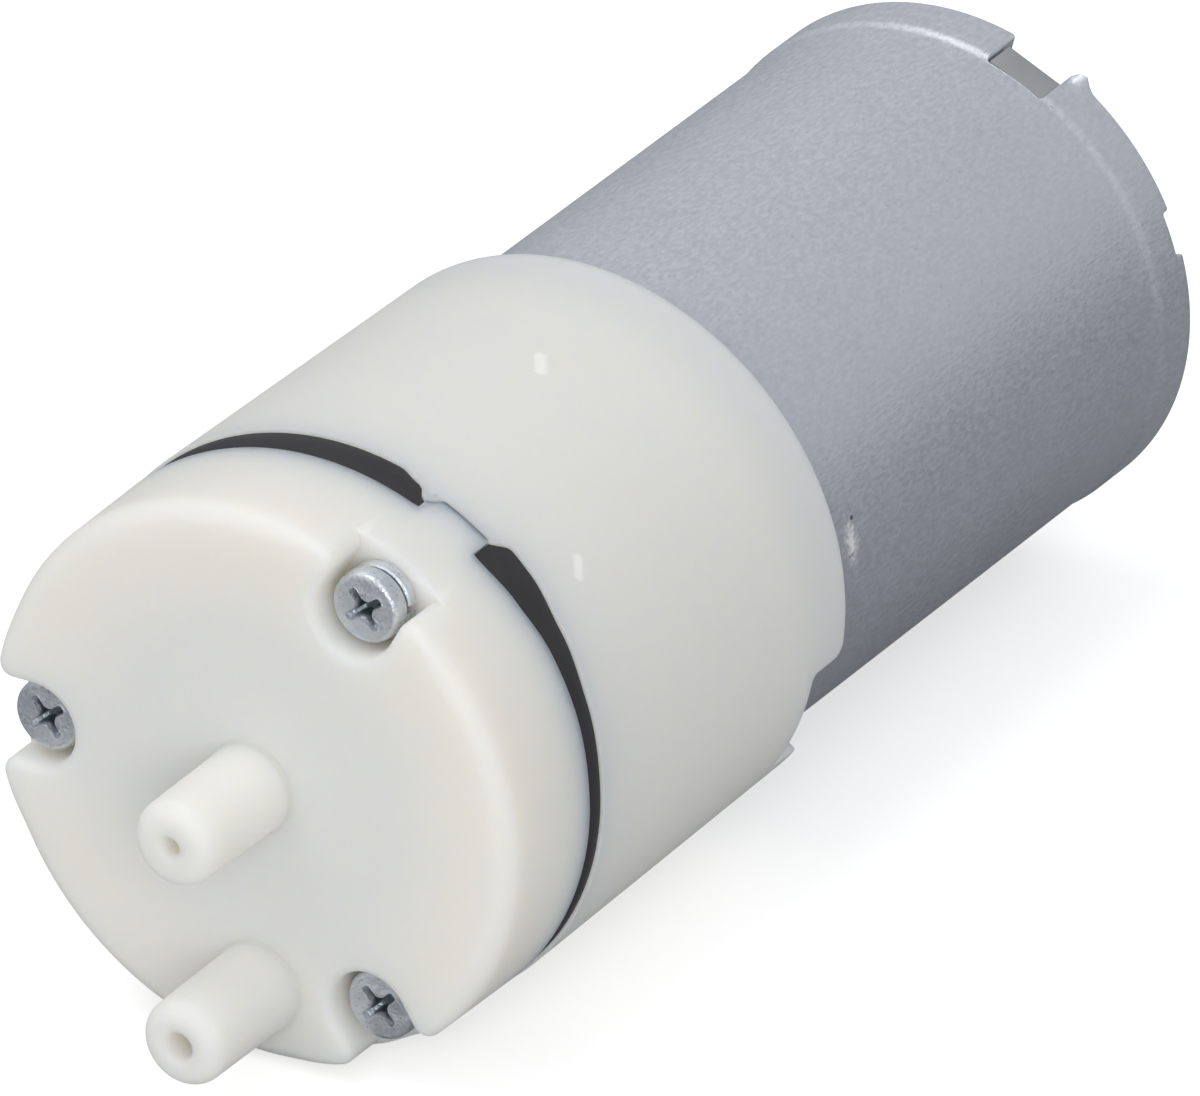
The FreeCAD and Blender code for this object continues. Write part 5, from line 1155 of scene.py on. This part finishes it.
class PUMP_OT_rubber(bpy.types.Operator):
    """Make the rubber diaphragm with its rim and cups"""
    bl_idname = "pump.rubber"
    bl_label = "Diaphragm"

    def execute(self, context):
        build_rubber(context.scene)
        return {"FINISHED"}


class PUMP_OT_screws(bpy.types.Operator):
    """Set the three head screws and their spring washers"""
    bl_idname = "pump.screws"
    bl_label = "Screws and washers"

    def execute(self, context):
        sizes = context.scene.pump_screws
        repeat_round("head_screws_zinc", screw_mesh(sizes), "head_screws", "zinc_screw", sizes, sizes.spins)
        repeat_round("washers_zinc", washer_mesh(sizes), "lock_washers", "zinc_screw", sizes, sizes.washer_spins)
        return {"FINISHED"}


class PUMP_OT_motor_rear(bpy.types.Operator):
    """Make the end cap, the terminals and the shaft's end"""
    bl_idname = "pump.motor_rear"
    bl_label = "Motor's rear"

    def execute(self, context):
        smooth_copy("end_cap_moulded", "end_cap", "grey_cap", 0.08)
        smooth_copy("terminal_left_bent", "terminal_left", "tinned_brass", 0.04)
        smooth_copy("terminal_right_bent", "terminal_right", "tinned_brass", 0.04)
        smooth_copy("motor_shaft_ground", "motor_shaft", "shaft_steel", 0.1)
        return {"FINISHED"}


class PUMP_OT_inside(bpy.types.Operator):
    """Give the pieces inside the pump and the motor their materials"""
    bl_idname = "pump.inside"
    bl_label = "Inside pieces"

    def execute(self, context):
        slots = {part["node"]: part["material_slot"] for part in frame["record"]["subparts"]}
        for name, node in frame["nodes"].items():
            if node.hide_render:
                continue
            slot = slots[name]
            node.data.materials.clear()
            node.data.materials.append(get_material(slot))
        return {"FINISHED"}


class PUMP_OT_studio(bpy.types.Operator):
    """Set up the floor, the lights, the sky and the camera"""
    bl_idname = "pump.studio"
    bl_label = "Studio"

    def execute(self, context):
        scene, sizes = context.scene, context.scene.pump_studio
        mesh = bpy.data.meshes.new("floor")
        half, level = 1.5, LOWEST - 0.00005
        corners = [(-half, -half, level), (half, -half, level), (half, half, level), (-half, half, level)]
        mesh.from_pydata(corners, [], [(0, 1, 2, 3)])
        mesh.materials.append(floor_material(scene.pump_colours.floor))
        floor = add_object("floor", mesh)
        area_light("key_light", (-0.15, -0.10, 0.55), 0.5, sizes.key_power)
        area_light("fill_light", (0.34, -0.55, 0.24), 0.4, sizes.fill_power)
        scene.world = studio_sky(sizes.sky)
        scene.camera = photo_camera(sizes)
        scene.view_settings.view_transform = "Standard"
        return {"FINISHED"}


class PUMP_PT_build(bpy.types.Panel):
    """Lists the steps that build the pump"""
    bl_idname = "PUMP_PT_build"
    bl_label = "Diaphragm pump"
    bl_space_type = "VIEW_3D"
    bl_region_type = "UI"
    bl_category = "Pump"

    def draw(self, context):
        for step in STEPS:
            self.layout.operator(step.bl_idname)


GROUPS = {"pump_can": CanSizes, "pump_housing": HousingSizes, "pump_cover": CoverSizes,
          "pump_screws": ScrewSizes, "pump_colours": PumpColours, "pump_studio": StudioSizes}
STEPS = (PUMP_OT_motor_can, PUMP_OT_housing, PUMP_OT_cover, PUMP_OT_rubber, PUMP_OT_screws,
         PUMP_OT_motor_rear, PUMP_OT_inside, PUMP_OT_studio)
CLASSES = (*GROUPS.values(), *STEPS, PUMP_PT_build)


def register():
    for item in CLASSES:
        bpy.utils.register_class(item)
    for name, group in GROUPS.items():
        setattr(bpy.types.Scene, name, PointerProperty(type=group))


def unregister():
    for name in GROUPS:
        delattr(bpy.types.Scene, name)
    for item in reversed(CLASSES):
        bpy.utils.unregister_class(item)


def main():
    register()
    bpy.ops.pump.motor_can()
    bpy.ops.pump.housing()
    bpy.ops.pump.cover()
    bpy.ops.pump.rubber()
    bpy.ops.pump.screws()
    bpy.ops.pump.motor_rear()
    bpy.ops.pump.inside()
    bpy.ops.pump.studio()


if __name__ == "__main__":
    main()
